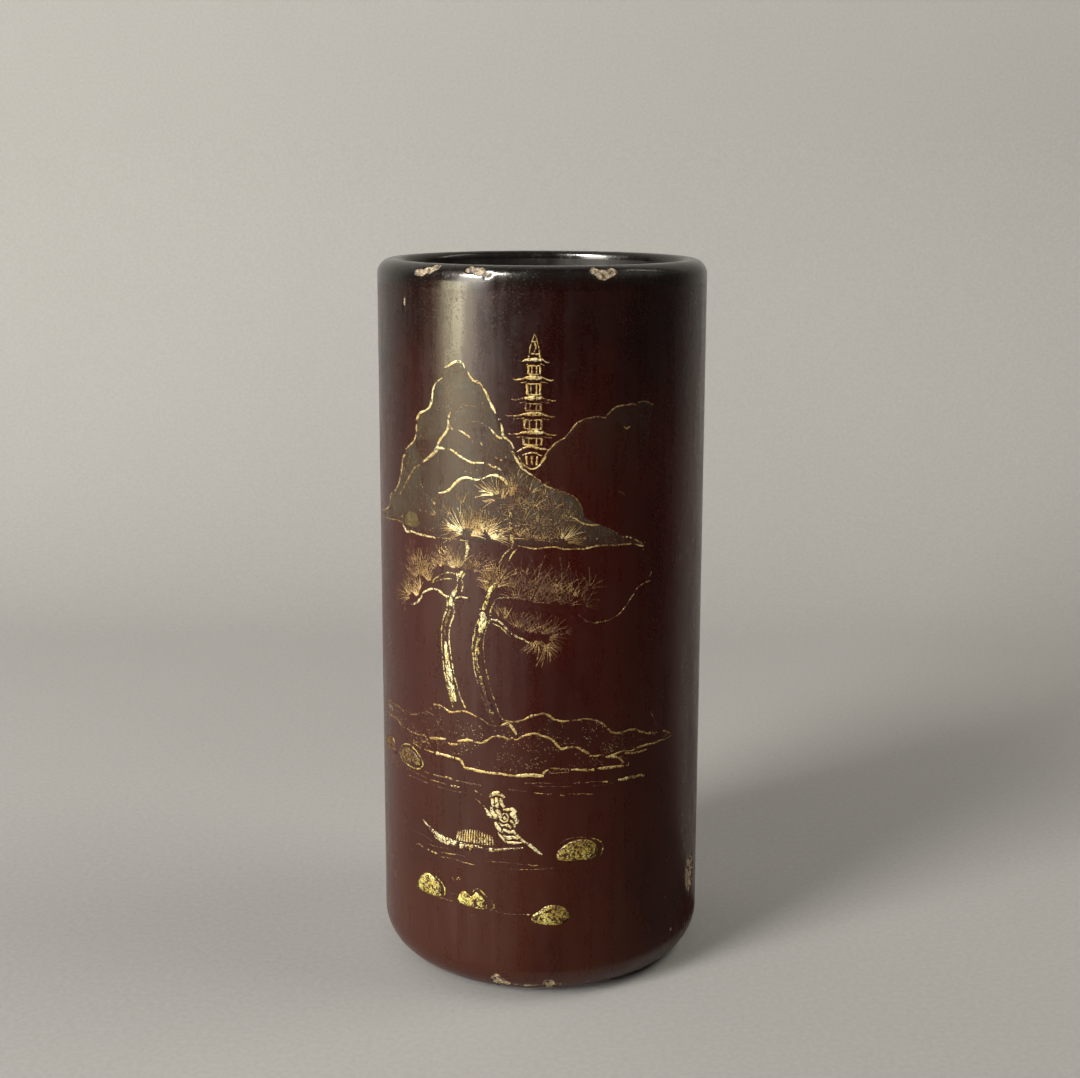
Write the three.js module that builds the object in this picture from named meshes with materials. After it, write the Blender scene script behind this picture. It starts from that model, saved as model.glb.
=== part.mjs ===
// A slim round brush pot of turned wood, coated in lacquer and decorated in raised gold.
// Millimetres, +Z up. The origin is the centre of the foot, on the surface the pot stands on.
// The front of the pot, with the picture on it, faces -Y.

import * as THREE from "three";

// ---- Driving dimensions of the pot ------------------------------------------------------------

const HEIGHT = 136;
const FOOT_RADIUS = 31.55; // the wall's slope carried down to the ground
const MOUTH_RADIUS = 30.9; // the wall's slope carried up to the top
const BORE_RADIUS = 26.3; // the finished inside, lining included
const FLOOR = 9; // height of the finished inside floor
const FOOT_ROUND = 7;
const LIP_ROUND = 2.8;
const INNER_EDGE_ROUND = 1.5;
const FLOOR_COVE = 2;

const LACQUER = 0.35; // thickness of each lacquer coat
const GROUND = 0.45; // thickness of the tan ground under the lacquer
const BOND = 0.02; // the line of glue or lacquer between two neighbours
const RIM_BAND = 4.2; // how far the black rim coat comes down the outside

const RECESS_RADIUS = 21.5; // the sunk middle of the underside
const RECESS_DEPTH = 1.5;
const SHOULDER = 4; // height of the step inside the wall that carries the base

const SEGMENTS = 48;
const FOOT_STEPS = 5;
const LIP_STEPS = 4;
const EDGE_STEPS = 3;
const COVE_STEPS = 3;

// ---- Driving dimensions of the raised gold ----------------------------------------------------

// A place on the wall is [across, up]: across is measured round the wall from the middle of the
// front, positive to the right, and up is the height over the ground.
const GOLD_LIFT = 0.03; // clears the flat facets of the turned wall
const GOLD_EDGE = 0.08; // thickness at the border of a raised shape
const ROCK_RISE = 0.3;
const FIGURE_RISE = 0.15;
const TRUNK_RISE = 0.12;

const ROCKS = {
  rock_far_left: { middle: -37, width: 7.4, bottom: 42.7, top: 46.1 },
  rock_left: { middle: -28.5, width: 7.8, bottom: 42.1, top: 46.3 },
  rock_right: { middle: 7.4, width: 8.8, bottom: 28.1, top: 32.3 },
  rock_low_left: { middle: -22.3, width: 7.2, bottom: 17.9, top: 22.3 },
  rock_low_middle: { middle: -12.2, width: 7.4, bottom: 17.6, top: 21.4 },
  rock_low_right: { middle: 1.8, width: 7.2, bottom: 15.6, top: 19.6 },
};
const ROCK_STATIONS = 7;

// Trunks, from the root up: [across, up, width].
const TRUNK_LEFT = [
  [-16.2, 56.6, 3.0],
  [-17.6, 60.5, 2.2],
  [-18.4, 65.5, 2.0],
  [-18.5, 70.5, 1.8],
  [-17.6, 75.0, 1.7],
  [-16.6, 77.6, 1.6],
];
const TRUNK_RIGHT = [
  [-8.0, 55.6, 2.6],
  [-9.6, 60.0, 2.2],
  [-11.2, 65.5, 2.1],
  [-11.7, 70.0, 2.0],
  [-10.6, 74.0, 2.2],
  [-9.4, 77.4, 1.6],
];

// The hull, the cargo and the boatman, from left to right: [across, bottom, top].
const HULL = [
  [-23.6, 31.9, 32.3],
  [-22.0, 30.4, 31.6],
  [-20.2, 29.6, 31.0],
  [-18.2, 29.2, 30.6],
  [-16.2, 29.0, 30.3],
  [-14.2, 29.0, 30.2],
  [-12.2, 29.2, 30.2],
  [-10.2, 29.6, 30.3],
  [-8.2, 29.7, 30.4],
  [-6.2, 29.9, 30.5],
  [-4.4, 30.2, 30.7],
];
const CARGO = [
  [-16.0, 30.45, 31.9],
  [-14.6, 30.4, 33.0],
  [-12.8, 30.4, 33.3],
  [-11.0, 30.45, 33.1],
  [-9.2, 30.5, 32.3],
];
const BOATMAN = [
  [-10.2, 36.4, 37.6],
  [-9.2, 35.6, 40.6],
  [-8.2, 33.6, 41.2],
  [-7.2, 31.6, 40.7],
  [-6.2, 31.2, 38.6],
  [-5.2, 31.4, 38.2],
  [-4.3, 32.6, 37.2],
];

const PAGODA_AXIS = -1.7;
const PAGODA_BOTTOM = 101.6;
const PAGODA_STOREY = 3.3;
const PAGODA_STOREYS = 6;
const PAGODA_ROOF_WIDTH = 7.2;
const PAGODA_BODY_WIDTH = 3.4;
const PAGODA_TAPER = 0.12; // each storey is this much narrower than the one below it
const PAGODA_EAVE = 0.5;
const PAGODA_SPIRE = 4.6;

// ---- Finishes ---------------------------------------------------------------------------------

function finish(color, roughness, metalness = 0) {
  return new THREE.MeshStandardMaterial({ color, roughness, metalness });
}

const WOOD = finish("#8a6a48", 0.8);
const TAN_GROUND = finish("#b59a72", 0.9);
const RED_LACQUER = finish("#3d1610", 0.3);
const BLACK_LACQUER = finish("#15100f", 0.3);
const GOLD = finish("#c9ad66", 0.4, 0.9);

// ---- Turned pieces ----------------------------------------------------------------------------

const point = (radius, height) => new THREE.Vector2(radius, height);

function wallRadius(height) {
  return FOOT_RADIUS + ((MOUTH_RADIUS - FOOT_RADIUS) * height) / HEIGHT;
}

function arc(centre, radius, fromDegrees, toDegrees, steps) {
  return Array.from({ length: steps + 1 }, (_, i) => {
    const degrees = fromDegrees + ((toDegrees - fromDegrees) * i) / steps;
    const angle = THREE.MathUtils.degToRad(degrees);
    return point(centre.x + radius * Math.cos(angle), centre.y + radius * Math.sin(angle));
  });
}

const FOOT_CENTRE = point(wallRadius(FOOT_ROUND) - FOOT_ROUND, FOOT_ROUND);
const LIP_CENTRE = point(wallRadius(HEIGHT - LIP_ROUND) - LIP_ROUND, HEIGHT - LIP_ROUND);
const INNER_EDGE_CENTRE = point(BORE_RADIUS + INNER_EDGE_ROUND, HEIGHT - INNER_EDGE_ROUND);

// The three rounded stretches of the pot's skin, each at a depth below the finished surface.
const footArc = (depth) => arc(FOOT_CENTRE, FOOT_ROUND - depth, -90, 0, FOOT_STEPS);
const lipArc = (depth) => arc(LIP_CENTRE, LIP_ROUND - depth, 0, 90, LIP_STEPS);
const edgeArc = (depth) =>
  arc(INNER_EDGE_CENTRE, INNER_EDGE_ROUND - depth, 90, 180, EDGE_STEPS);
const wallPoint = (depth, height) => point(wallRadius(height) - depth, height);

// Turns a profile about +Z. The profile starts and ends on the axis, or closes on itself.
function turned(name, material, profile) {
  const geometry = new THREE.LatheGeometry(profile, SEGMENTS);
  geometry.rotateX(Math.PI / 2);
  const mesh = new THREE.Mesh(geometry, material);
  mesh.name = name;
  return mesh;
}

// A coat lies between an outer line of points and an inner one, which runs the same way.
function coat(name, material, outer, inner) {
  return turned(name, material, [...outer, ...inner.reverse(), outer[0]]);
}

function bodyLacquer() {
  const top = HEIGHT - RIM_BAND - BOND;
  const outer = [...footArc(0), wallPoint(0, top)];
  const inner = [...footArc(LACQUER), wallPoint(LACQUER, top)];
  return coat("body_lacquer", RED_LACQUER, outer, inner);
}

function rimLacquer() {
  const bottom = HEIGHT - RIM_BAND;
  const outer = [wallPoint(0, bottom), ...lipArc(0), ...edgeArc(0)];
  const inner = [wallPoint(LACQUER, bottom), ...lipArc(LACQUER), ...edgeArc(LACQUER)];
  return coat("rim_lacquer", BLACK_LACQUER, outer, inner);
}

function groundCoat() {
  const near = LACQUER + BOND;
  const far = near + GROUND;
  const outer = [...footArc(near), ...lipArc(near), ...edgeArc(near)];
  const inner = [...footArc(far), ...lipArc(far), ...edgeArc(far)];
  return coat("ground_coat", TAN_GROUND, outer, inner);
}

function liningLacquer() {
  const top = HEIGHT - INNER_EDGE_ROUND - BOND;
  const coveCentre = point(BORE_RADIUS - FLOOR_COVE, FLOOR + FLOOR_COVE);
  return turned("lining_lacquer", BLACK_LACQUER, [
    point(0, FLOOR - LACQUER),
    point(BORE_RADIUS + LACQUER, FLOOR - LACQUER),
    point(BORE_RADIUS + LACQUER, top),
    point(BORE_RADIUS, top),
    ...arc(coveCentre, FLOOR_COVE, 0, -90, COVE_STEPS),
    point(0, FLOOR),
  ]);
}

// The wooden wall: a tube whose bore narrows at the foot to a shoulder that carries the base.
function wallCore() {
  const depth = LACQUER + GROUND + 2 * BOND;
  const opening = RECESS_RADIUS + LACQUER + BOND;
  const bore = BORE_RADIUS + LACQUER + BOND;
  const groundEnd = HEIGHT - INNER_EDGE_ROUND - BOND;
  return turned("wall_core", WOOD, [
    point(opening, depth),
    ...footArc(depth),
    ...lipArc(depth),
    ...edgeArc(depth),
    point(BORE_RADIUS + depth, groundEnd),
    point(bore, groundEnd),
    point(bore, SHOULDER),
    point(opening, SHOULDER),
    point(opening, depth),
  ]);
}

// The wooden base: a stepped disc, its plug in the wall's opening and its flange on the shoulder.
function baseDisc() {
  const underside = RECESS_DEPTH + LACQUER + BOND;
  const plug = RECESS_RADIUS + LACQUER;
  const flange = BORE_RADIUS + LACQUER;
  return turned("base_disc", WOOD, [
    point(0, underside),
    point(plug, underside),
    point(plug, SHOULDER + BOND),
    point(flange, SHOULDER + BOND),
    point(flange, FLOOR - LACQUER - BOND),
    point(0, FLOOR - LACQUER - BOND),
  ]);
}

// The black coat that the pot stands on: a flat ring, and the sunk middle of the underside.
function footLacquer() {
  const rim = FOOT_CENTRE.x - BOND;
  return turned("foot_lacquer", BLACK_LACQUER, [
    point(0, RECESS_DEPTH),
    point(RECESS_RADIUS, RECESS_DEPTH),
    point(RECESS_RADIUS, 0),
    point(rim, 0),
    point(rim, LACQUER),
    point(RECESS_RADIUS + LACQUER, LACQUER),
    point(RECESS_RADIUS + LACQUER, RECESS_DEPTH + LACQUER),
    point(0, RECESS_DEPTH + LACQUER),
  ]);
}

// ---- Raised gold ------------------------------------------------------------------------------

// Lays a place of the picture on the wall, lifted off it.
function onWall(across, up, lift) {
  const angle = (2 * across) / (FOOT_RADIUS + MOUTH_RADIUS);
  const radius = wallRadius(up) + lift;
  return [radius * Math.sin(angle), -radius * Math.cos(angle), up];
}

// A closed pad over a run of cross-lines, each from start to end, domed between its borders.
function raisedPad(name, lines, spans, rise) {
  const columns = spans + 1;
  const layer = lines.length * columns;
  const positions = [];
  for (const top of [false, true]) {
    lines.forEach(({ start, end }, row) => {
      const along = Math.sin((Math.PI * (row + 0.5)) / lines.length);
      for (let i = 0; i < columns; i += 1) {
        const t = i / spans;
        const dome = top ? GOLD_EDGE + rise * along * Math.sin(Math.PI * t) : 0;
        const across = THREE.MathUtils.lerp(start[0], end[0], t);
        const up = THREE.MathUtils.lerp(start[1], end[1], t);
        positions.push(...onWall(across, up, GOLD_LIFT + dome));
      }
    });
  }
  const index = [];
  const quad = (a, b, c, d) => index.push(a, c, b, a, d, c);
  const last = lines.length - 1;
  for (let row = 0; row < last; row += 1) {
    for (let i = 0; i < spans; i += 1) {
      const a = row * columns + i;
      quad(a, a + 1, a + columns + 1, a + columns);
      quad(layer + a, layer + a + columns, layer + a + columns + 1, layer + a + 1);
    }
    const a = row * columns;
    const b = a + spans;
    quad(a, a + columns, layer + a + columns, layer + a);
    quad(b, layer + b, layer + b + columns, b + columns);
  }
  for (let i = 0; i < spans; i += 1) {
    const a = last * columns + i;
    quad(i, layer + i, layer + i + 1, i + 1);
    quad(a, a + 1, layer + a + 1, layer + a);
  }
  const geometry = new THREE.BufferGeometry();
  geometry.setAttribute("position", new THREE.Float32BufferAttribute(positions, 3));
  geometry.setIndex(index);
  geometry.computeVertexNormals();
  const mesh = new THREE.Mesh(geometry, GOLD);
  mesh.name = name;
  return mesh;
}

// Cross-lines that stand upright, for shapes that run from left to right.
const upright = ([across, bottom, top]) => ({ start: [across, top], end: [across, bottom] });

// Cross-lines that lie level, for shapes that run from the ground up.
const level = ([across, up, width]) => ({
  start: [across - width / 2, up],
  end: [across + width / 2, up],
});

function rock(name, { middle, width, bottom, top }) {
  const lines = Array.from({ length: ROCK_STATIONS }, (_, i) => {
    const side = (2 * i) / (ROCK_STATIONS - 1) - 1;
    const swell = Math.sqrt(1 - 0.9 * side * side);
    return upright([middle + (side * width) / 2, bottom, bottom + (top - bottom) * swell]);
  });
  return raisedPad(name, lines, 3, ROCK_RISE);
}

function pagoda() {
  const lines = [];
  for (let storey = 0; storey < PAGODA_STOREYS; storey += 1) {
    const scale = 1 - PAGODA_TAPER * storey;
    const foot = PAGODA_BOTTOM + storey * PAGODA_STOREY;
    const eave = foot + PAGODA_STOREY - PAGODA_EAVE;
    lines.push(level([PAGODA_AXIS, foot, PAGODA_BODY_WIDTH * scale]));
    lines.push(level([PAGODA_AXIS, eave - PAGODA_EAVE, PAGODA_BODY_WIDTH * scale]));
    lines.push(level([PAGODA_AXIS, eave, PAGODA_ROOF_WIDTH * scale]));
  }
  const top = PAGODA_BOTTOM + PAGODA_STOREYS * PAGODA_STOREY;
  lines.push(level([PAGODA_AXIS, top, 1]));
  lines.push(level([PAGODA_AXIS, top + PAGODA_SPIRE, GOLD_EDGE * 4]));
  return raisedPad("pagoda", lines, 4, FIGURE_RISE);
}

const model = new THREE.Group();
model.add(wallCore(), baseDisc(), groundCoat());
model.add(bodyLacquer(), rimLacquer(), liningLacquer(), footLacquer());
for (const [name, shape] of Object.entries(ROCKS)) {
  model.add(rock(name, shape));
}
model.add(raisedPad("pine_trunk_left", TRUNK_LEFT.map(level), 2, TRUNK_RISE));
model.add(raisedPad("pine_trunk_right", TRUNK_RIGHT.map(level), 2, TRUNK_RISE));
model.add(raisedPad("boat_hull", HULL.map(upright), 2, FIGURE_RISE));
model.add(raisedPad("boat_cargo", CARGO.map(upright), 2, FIGURE_RISE));
model.add(raisedPad("boatman", BOATMAN.map(upright), 3, FIGURE_RISE));
model.add(pagoda());

export default model;
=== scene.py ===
"""A lacquered brush pot with a raised gold landscape, made as an add-on and run as a script.

Everything is in metres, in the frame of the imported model: +Z up, the origin under the foot, the
picture facing -Y. The picture is drawn in its own flat units: a place is (across, up) in
millimetres, across measured round the wall from the middle of the front, positive to the right.
"""
import math

import bmesh
import bpy
from mathutils import Euler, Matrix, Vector, noise


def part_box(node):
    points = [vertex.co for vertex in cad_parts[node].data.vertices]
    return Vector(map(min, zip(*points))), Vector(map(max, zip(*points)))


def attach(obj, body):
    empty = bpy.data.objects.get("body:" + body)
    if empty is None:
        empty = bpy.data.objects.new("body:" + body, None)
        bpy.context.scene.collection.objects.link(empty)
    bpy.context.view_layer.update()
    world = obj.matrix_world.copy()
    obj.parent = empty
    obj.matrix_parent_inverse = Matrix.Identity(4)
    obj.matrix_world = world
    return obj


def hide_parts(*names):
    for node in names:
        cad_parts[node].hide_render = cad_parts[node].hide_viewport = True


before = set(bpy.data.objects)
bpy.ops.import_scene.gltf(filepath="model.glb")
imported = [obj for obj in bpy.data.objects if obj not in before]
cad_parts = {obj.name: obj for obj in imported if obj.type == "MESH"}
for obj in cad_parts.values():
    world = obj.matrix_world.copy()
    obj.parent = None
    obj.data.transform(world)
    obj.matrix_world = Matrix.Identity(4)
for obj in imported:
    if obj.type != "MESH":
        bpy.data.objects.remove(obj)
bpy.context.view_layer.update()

bl_info = {
    "name": "Lacquered Brush Pot",
    "version": (1, 0, 0),
    "blender": (4, 5, 0),
    "location": "3D View > Sidebar > Brush Pot",
    "description": "Makes a lacquered brush pot with a gold landscape",
    "category": "Add Mesh",
}

MM = 0.001
BODY = "root"

# ---- Places taken from the frame --------------------------------------------------------------

BODY_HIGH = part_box("body_lacquer")[1]
RIM_LOW, RIM_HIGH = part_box("rim_lacquer")
LINING_LOW, LINING_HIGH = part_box("lining_lacquer")
FOOT_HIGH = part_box("foot_lacquer")[1]

HEIGHT = RIM_HIGH[2]
RIM_LINE = RIM_LOW[2]
COAT = 0.35 * MM
FOOT_ROUND = 7.0 * MM
LIP_ROUND = 2.8 * MM
EDGE_ROUND = 1.5 * MM
FLOOR_COVE = 2.0 * MM
RECESS_RADIUS = 21.5 * MM
RECESS_EDGE = 0.5 * MM
# The wall and inside coats stop this far short of the rim's, and the inside and underside coats
# this far from the axis.
COAT_GAP = 0.005 * MM
AXIS_HOLE = 0.02 * MM
RECESS_DEPTH = FOOT_HIGH[2] - COAT
BORE_RADIUS = LINING_HIGH[0] - COAT
FLOOR = LINING_LOW[2] + COAT
FOOT_FLAT = FOOT_HIGH[0]

# The wall leans in a little: its radius is taken where it meets the foot's rounding and the rim.
WALL_SLOPE = (RIM_HIGH[0] - BODY_HIGH[0]) / (RIM_LINE - FOOT_ROUND)
WALL_RADIUS = BODY_HIGH[0] - WALL_SLOPE * FOOT_ROUND
ARC_RADIUS = WALL_RADIUS + WALL_SLOPE * HEIGHT / 2


def wall_radius(height):
    return WALL_RADIUS + WALL_SLOPE * height


# ---- The picture: strokes ---------------------------------------------------------------------
# A stroke is (tone, points). Tone runs from 0, bright pale gold, to 1, dull and rubbed away.
# A point is (across, up, width).

MOUNTAIN_LEFT = [
    (0.0, [(-18.2, 118.3, .15), (-17.2, 118.7, .4), (-16.2, 119.3, .55), (-15.2, 119.5, .5),
           (-14.4, 119.2, .3), (-14.0, 118.4, .12)]),
    (0.1, [(-18.6, 116.5, .12), (-19.4, 116.0, .25), (-20.2, 115.4, .35), (-20.9, 114.0, .42),
           (-21.1, 112.6, .55), (-21.7, 111.1, .5), (-22.6, 110.4, .35), (-24.0, 109.8, .55),
           (-24.8, 109.0, .65), (-25.3, 108.3, .3)]),
    (0.3, [(-25.1, 107.6, .25), (-25.3, 107.0, .45), (-25.2, 106.3, .35)]),
    (0.35, [(-25.4, 105.7, .3), (-26.0, 104.5, .38), (-27.2, 103.6, .35), (-28.6, 102.7, .25)]),
    (0.45, [(-28.8, 101.6, .3), (-29.4, 101.1, .7), (-29.8, 100.2, .6), (-30.1, 98.8, .6),
            (-30.6, 97.3, .5), (-31.3, 96.0, .45), (-32.1, 94.9, .4), (-33.5, 94.0, .4),
            (-34.8, 93.3, .45), (-35.3, 91.8, .35), (-36.0, 90.7, .4), (-38.0, 89.9, .35),
            (-41.0, 89.2, .3)]),
    (0.1, [(-13.4, 117.8, .15), (-12.9, 116.9, .4), (-12.3, 116.3, .6), (-11.6, 116.2, .55),
           (-10.9, 115.8, .3), (-10.1, 114.6, .42), (-9.4, 113.2, .5), (-8.7, 111.8, .58),
           (-8.2, 110.8, .2)]),
    (0.2, [(-7.7, 109.8, .3), (-7.2, 109.8, .35)]),
    (0.15, [(-7.2, 109.1, .25), (-7.0, 108.1, .45), (-6.9, 107.1, .5), (-6.4, 106.5, .4),
            (-5.5, 105.9, .28), (-4.9, 104.8, .3)]),
    (0.2, [(-9.4, 108.3, .2), (-8.6, 107.5, .42), (-7.8, 106.7, .45), (-7.0, 106.5, .35)]),
    (0.15, [(-5.3, 104.3, .25), (-4.8, 103.6, .5), (-4.3, 102.6, .6), (-3.5, 101.5, .5),
            (-2.7, 100.8, .35), (-1.6, 100.1, .28)]),
    (0.55, [(-1.6, 100.1, .25), (-0.4, 99.2, .28), (0.6, 98.3, .3), (1.8, 97.8, .32),
            (3.2, 97.3, .32), (4.8, 96.7, .3)]),
    (0.8, [(4.8, 96.7, .22), (5.9, 96.1, .22), (6.8, 95.0, .2), (7.3, 93.6, .2), (7.6, 92.6, .15)]),
    (0.5, [(4.2, 93.0, .2), (5.4, 92.6, .28), (6.4, 92.0, .3), (7.6, 91.3, .35), (9.0, 91.0, .35),
           (10.4, 91.0, .2)]),
    # the ridges inside the mountain
    (0.2, [(-16.9, 110.6, .15), (-17.3, 109.9, .42), (-17.5, 108.9, .45), (-17.4, 108.0, .58),
           (-17.9, 107.0, .5), (-18.6, 106.2, .42), (-19.3, 105.4, .48), (-19.8, 104.5, .5),
           (-20.1, 103.6, .8), (-20.9, 102.8, .75), (-22.1, 101.9, .55), (-23.5, 101.0, .4)]),
    (0.3, [(-19.6, 103.9, .5), (-19.0, 103.9, .5), (-18.3, 103.8, .2)]),
    (0.3, [(-17.0, 107.9, .3), (-16.5, 107.5, .3)]),
    (0.1, [(-15.3, 107.4, .2), (-14.6, 107.2, .4), (-13.8, 106.8, .38), (-13.0, 106.3, .35)]),
    (0.8, [(-14.3, 108.6, .12), (-12.8, 109.1, .16), (-11.2, 109.1, .16), (-9.8, 108.4, .14)]),
    (0.8, [(-15.9, 110.4, .14), (-15.2, 111.2, .18), (-13.8, 111.9, .14), (-11.8, 111.8, .12)]),
    (0.15, [(-17.2, 103.9, .25), (-16.2, 103.5, .45), (-15.2, 102.9, .45), (-14.0, 102.4, .4),
            (-12.8, 101.9, .48), (-11.8, 101.9, .4), (-10.4, 102.0, .22)]),
    (0.35, [(-9.6, 101.9, .25), (-8.8, 101.4, .45), (-8.0, 101.3, .4), (-7.2, 100.8, .2)]),
    (0.4, [(-8.4, 103.3, .2), (-7.9, 102.9, .25)]),
    (0.4, [(-7.4, 102.7, .25), (-7.0, 102.6, .25)]),
    (0.3, [(-11.0, 105.6, .2), (-10.7, 105.1, .3)]),
    (0.05, [(-19.8, 95.8, .15), (-18.4, 96.1, .38), (-17.3, 96.7, .5), (-16.2, 97.8, .65),
            (-15.2, 98.6, .62), (-14.2, 99.1, .5), (-13.2, 99.1, .4), (-12.0, 98.9, .38),
            (-11.2, 99.0, .2)]),
    (0.1, [(-10.8, 99.1, .12), (-9.6, 99.7, .3), (-8.5, 99.9, .45), (-7.5, 99.7, .58),
           (-6.6, 99.1, .62), (-6.1, 98.4, .4)]),
    (0.55, [(-24.4, 100.3, .2), (-25.8, 99.7, .32), (-27.0, 98.4, .36), (-28.2, 97.0, .36),
            (-29.6, 95.2, .35), (-30.8, 94.1, .25)]),
    # the foot of the mountain, to the tip of the spit on the right
    (0.6, [(-42.0, 88.0, .21), (-38.0, 88.3, .22), (-34.0, 88.7, .27), (-31.0, 88.9, .34),
            (-30.0, 88.7, .42)]),
    (0.15, [(-30.2, 88.8, .35), (-29.5, 88.1, .49), (-28.6, 87.4, .5), (-27.0, 87.7, .45),
           (-25.0, 87.5, .43), (-23.0, 87.5, .42), (-21.2, 87.5, .35), (-20.6, 87.4, .17)]),
    (0.45, [(-20.2, 87.6, .14), (-18.0, 87.7, .21), (-16.0, 87.8, .2), (-13.4, 87.7, .17)]),
    (0.4, [(-4.2, 87.5, .21), (-2.6, 87.2, .32), (-1.0, 87.0, .32), (0.6, 87.2, .28),
            (2.4, 87.3, .28), (4.0, 86.9, .29), (6.0, 86.9, .29), (7.6, 86.8, .35),
            (9.0, 87.0, .36), (10.4, 87.2, .35), (12.0, 87.1, .28)]),
    (0.5, [(12.4, 87.1, .28), (14.0, 87.0, .32), (15.6, 87.0, .29), (17.2, 86.9, .27)]),
    (0.4, [(17.8, 86.7, .24), (18.8, 86.4, .35), (19.8, 86.2, .24)]),
    (0.7, [(12.2, 90.2, .14), (13.4, 89.5, .21), (14.6, 88.8, .2)]),
    (0.5, [(15.0, 88.4, .21), (16.2, 88.3, .29), (17.2, 87.9, .28)]),
    (0.45, [(17.6, 87.7, .21), (18.4, 87.2, .32), (19.2, 86.7, .28)]),
    (0.65, [(19.7, 87.0, .21), (20.0, 86.8, .17)]),
    (0.65, [(19.4, 85.6, .17), (19.8, 85.5, .14)]),
]

MOUNTAIN_RIGHT = [
    (0.45, [(-0.6, 101.8, .22), (0.2, 103.0, .3), (1.0, 104.2, .32), (1.8, 105.2, .35),
            (2.8, 106.0, .32), (4.0, 106.6, .32)]),
    (0.6, [(4.0, 106.6, .3), (5.0, 107.8, .32), (6.0, 109.0, .35), (7.2, 109.7, .38),
           (8.4, 110.0, .35), (9.8, 110.2, .35), (11.4, 109.9, .25)]),
    (0.6, [(11.8, 110.5, .28), (12.8, 111.3, .35), (13.8, 111.8, .4), (15.0, 111.9, .38),
           (16.4, 112.0, .4), (17.6, 111.9, .35)]),
    (0.65, [(17.8, 112.2, .3), (19.4, 112.3, .4), (20.6, 111.9, .4), (21.6, 111.5, .3)]),
    (0.3, [(15.0, 108.2, .18), (15.6, 107.8, .42), (16.3, 108.2, .2)]),
    (0.8, [(13.8, 96.7, .15), (14.7, 96.5, .22), (15.4, 95.9, .15)]),
]

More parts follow.
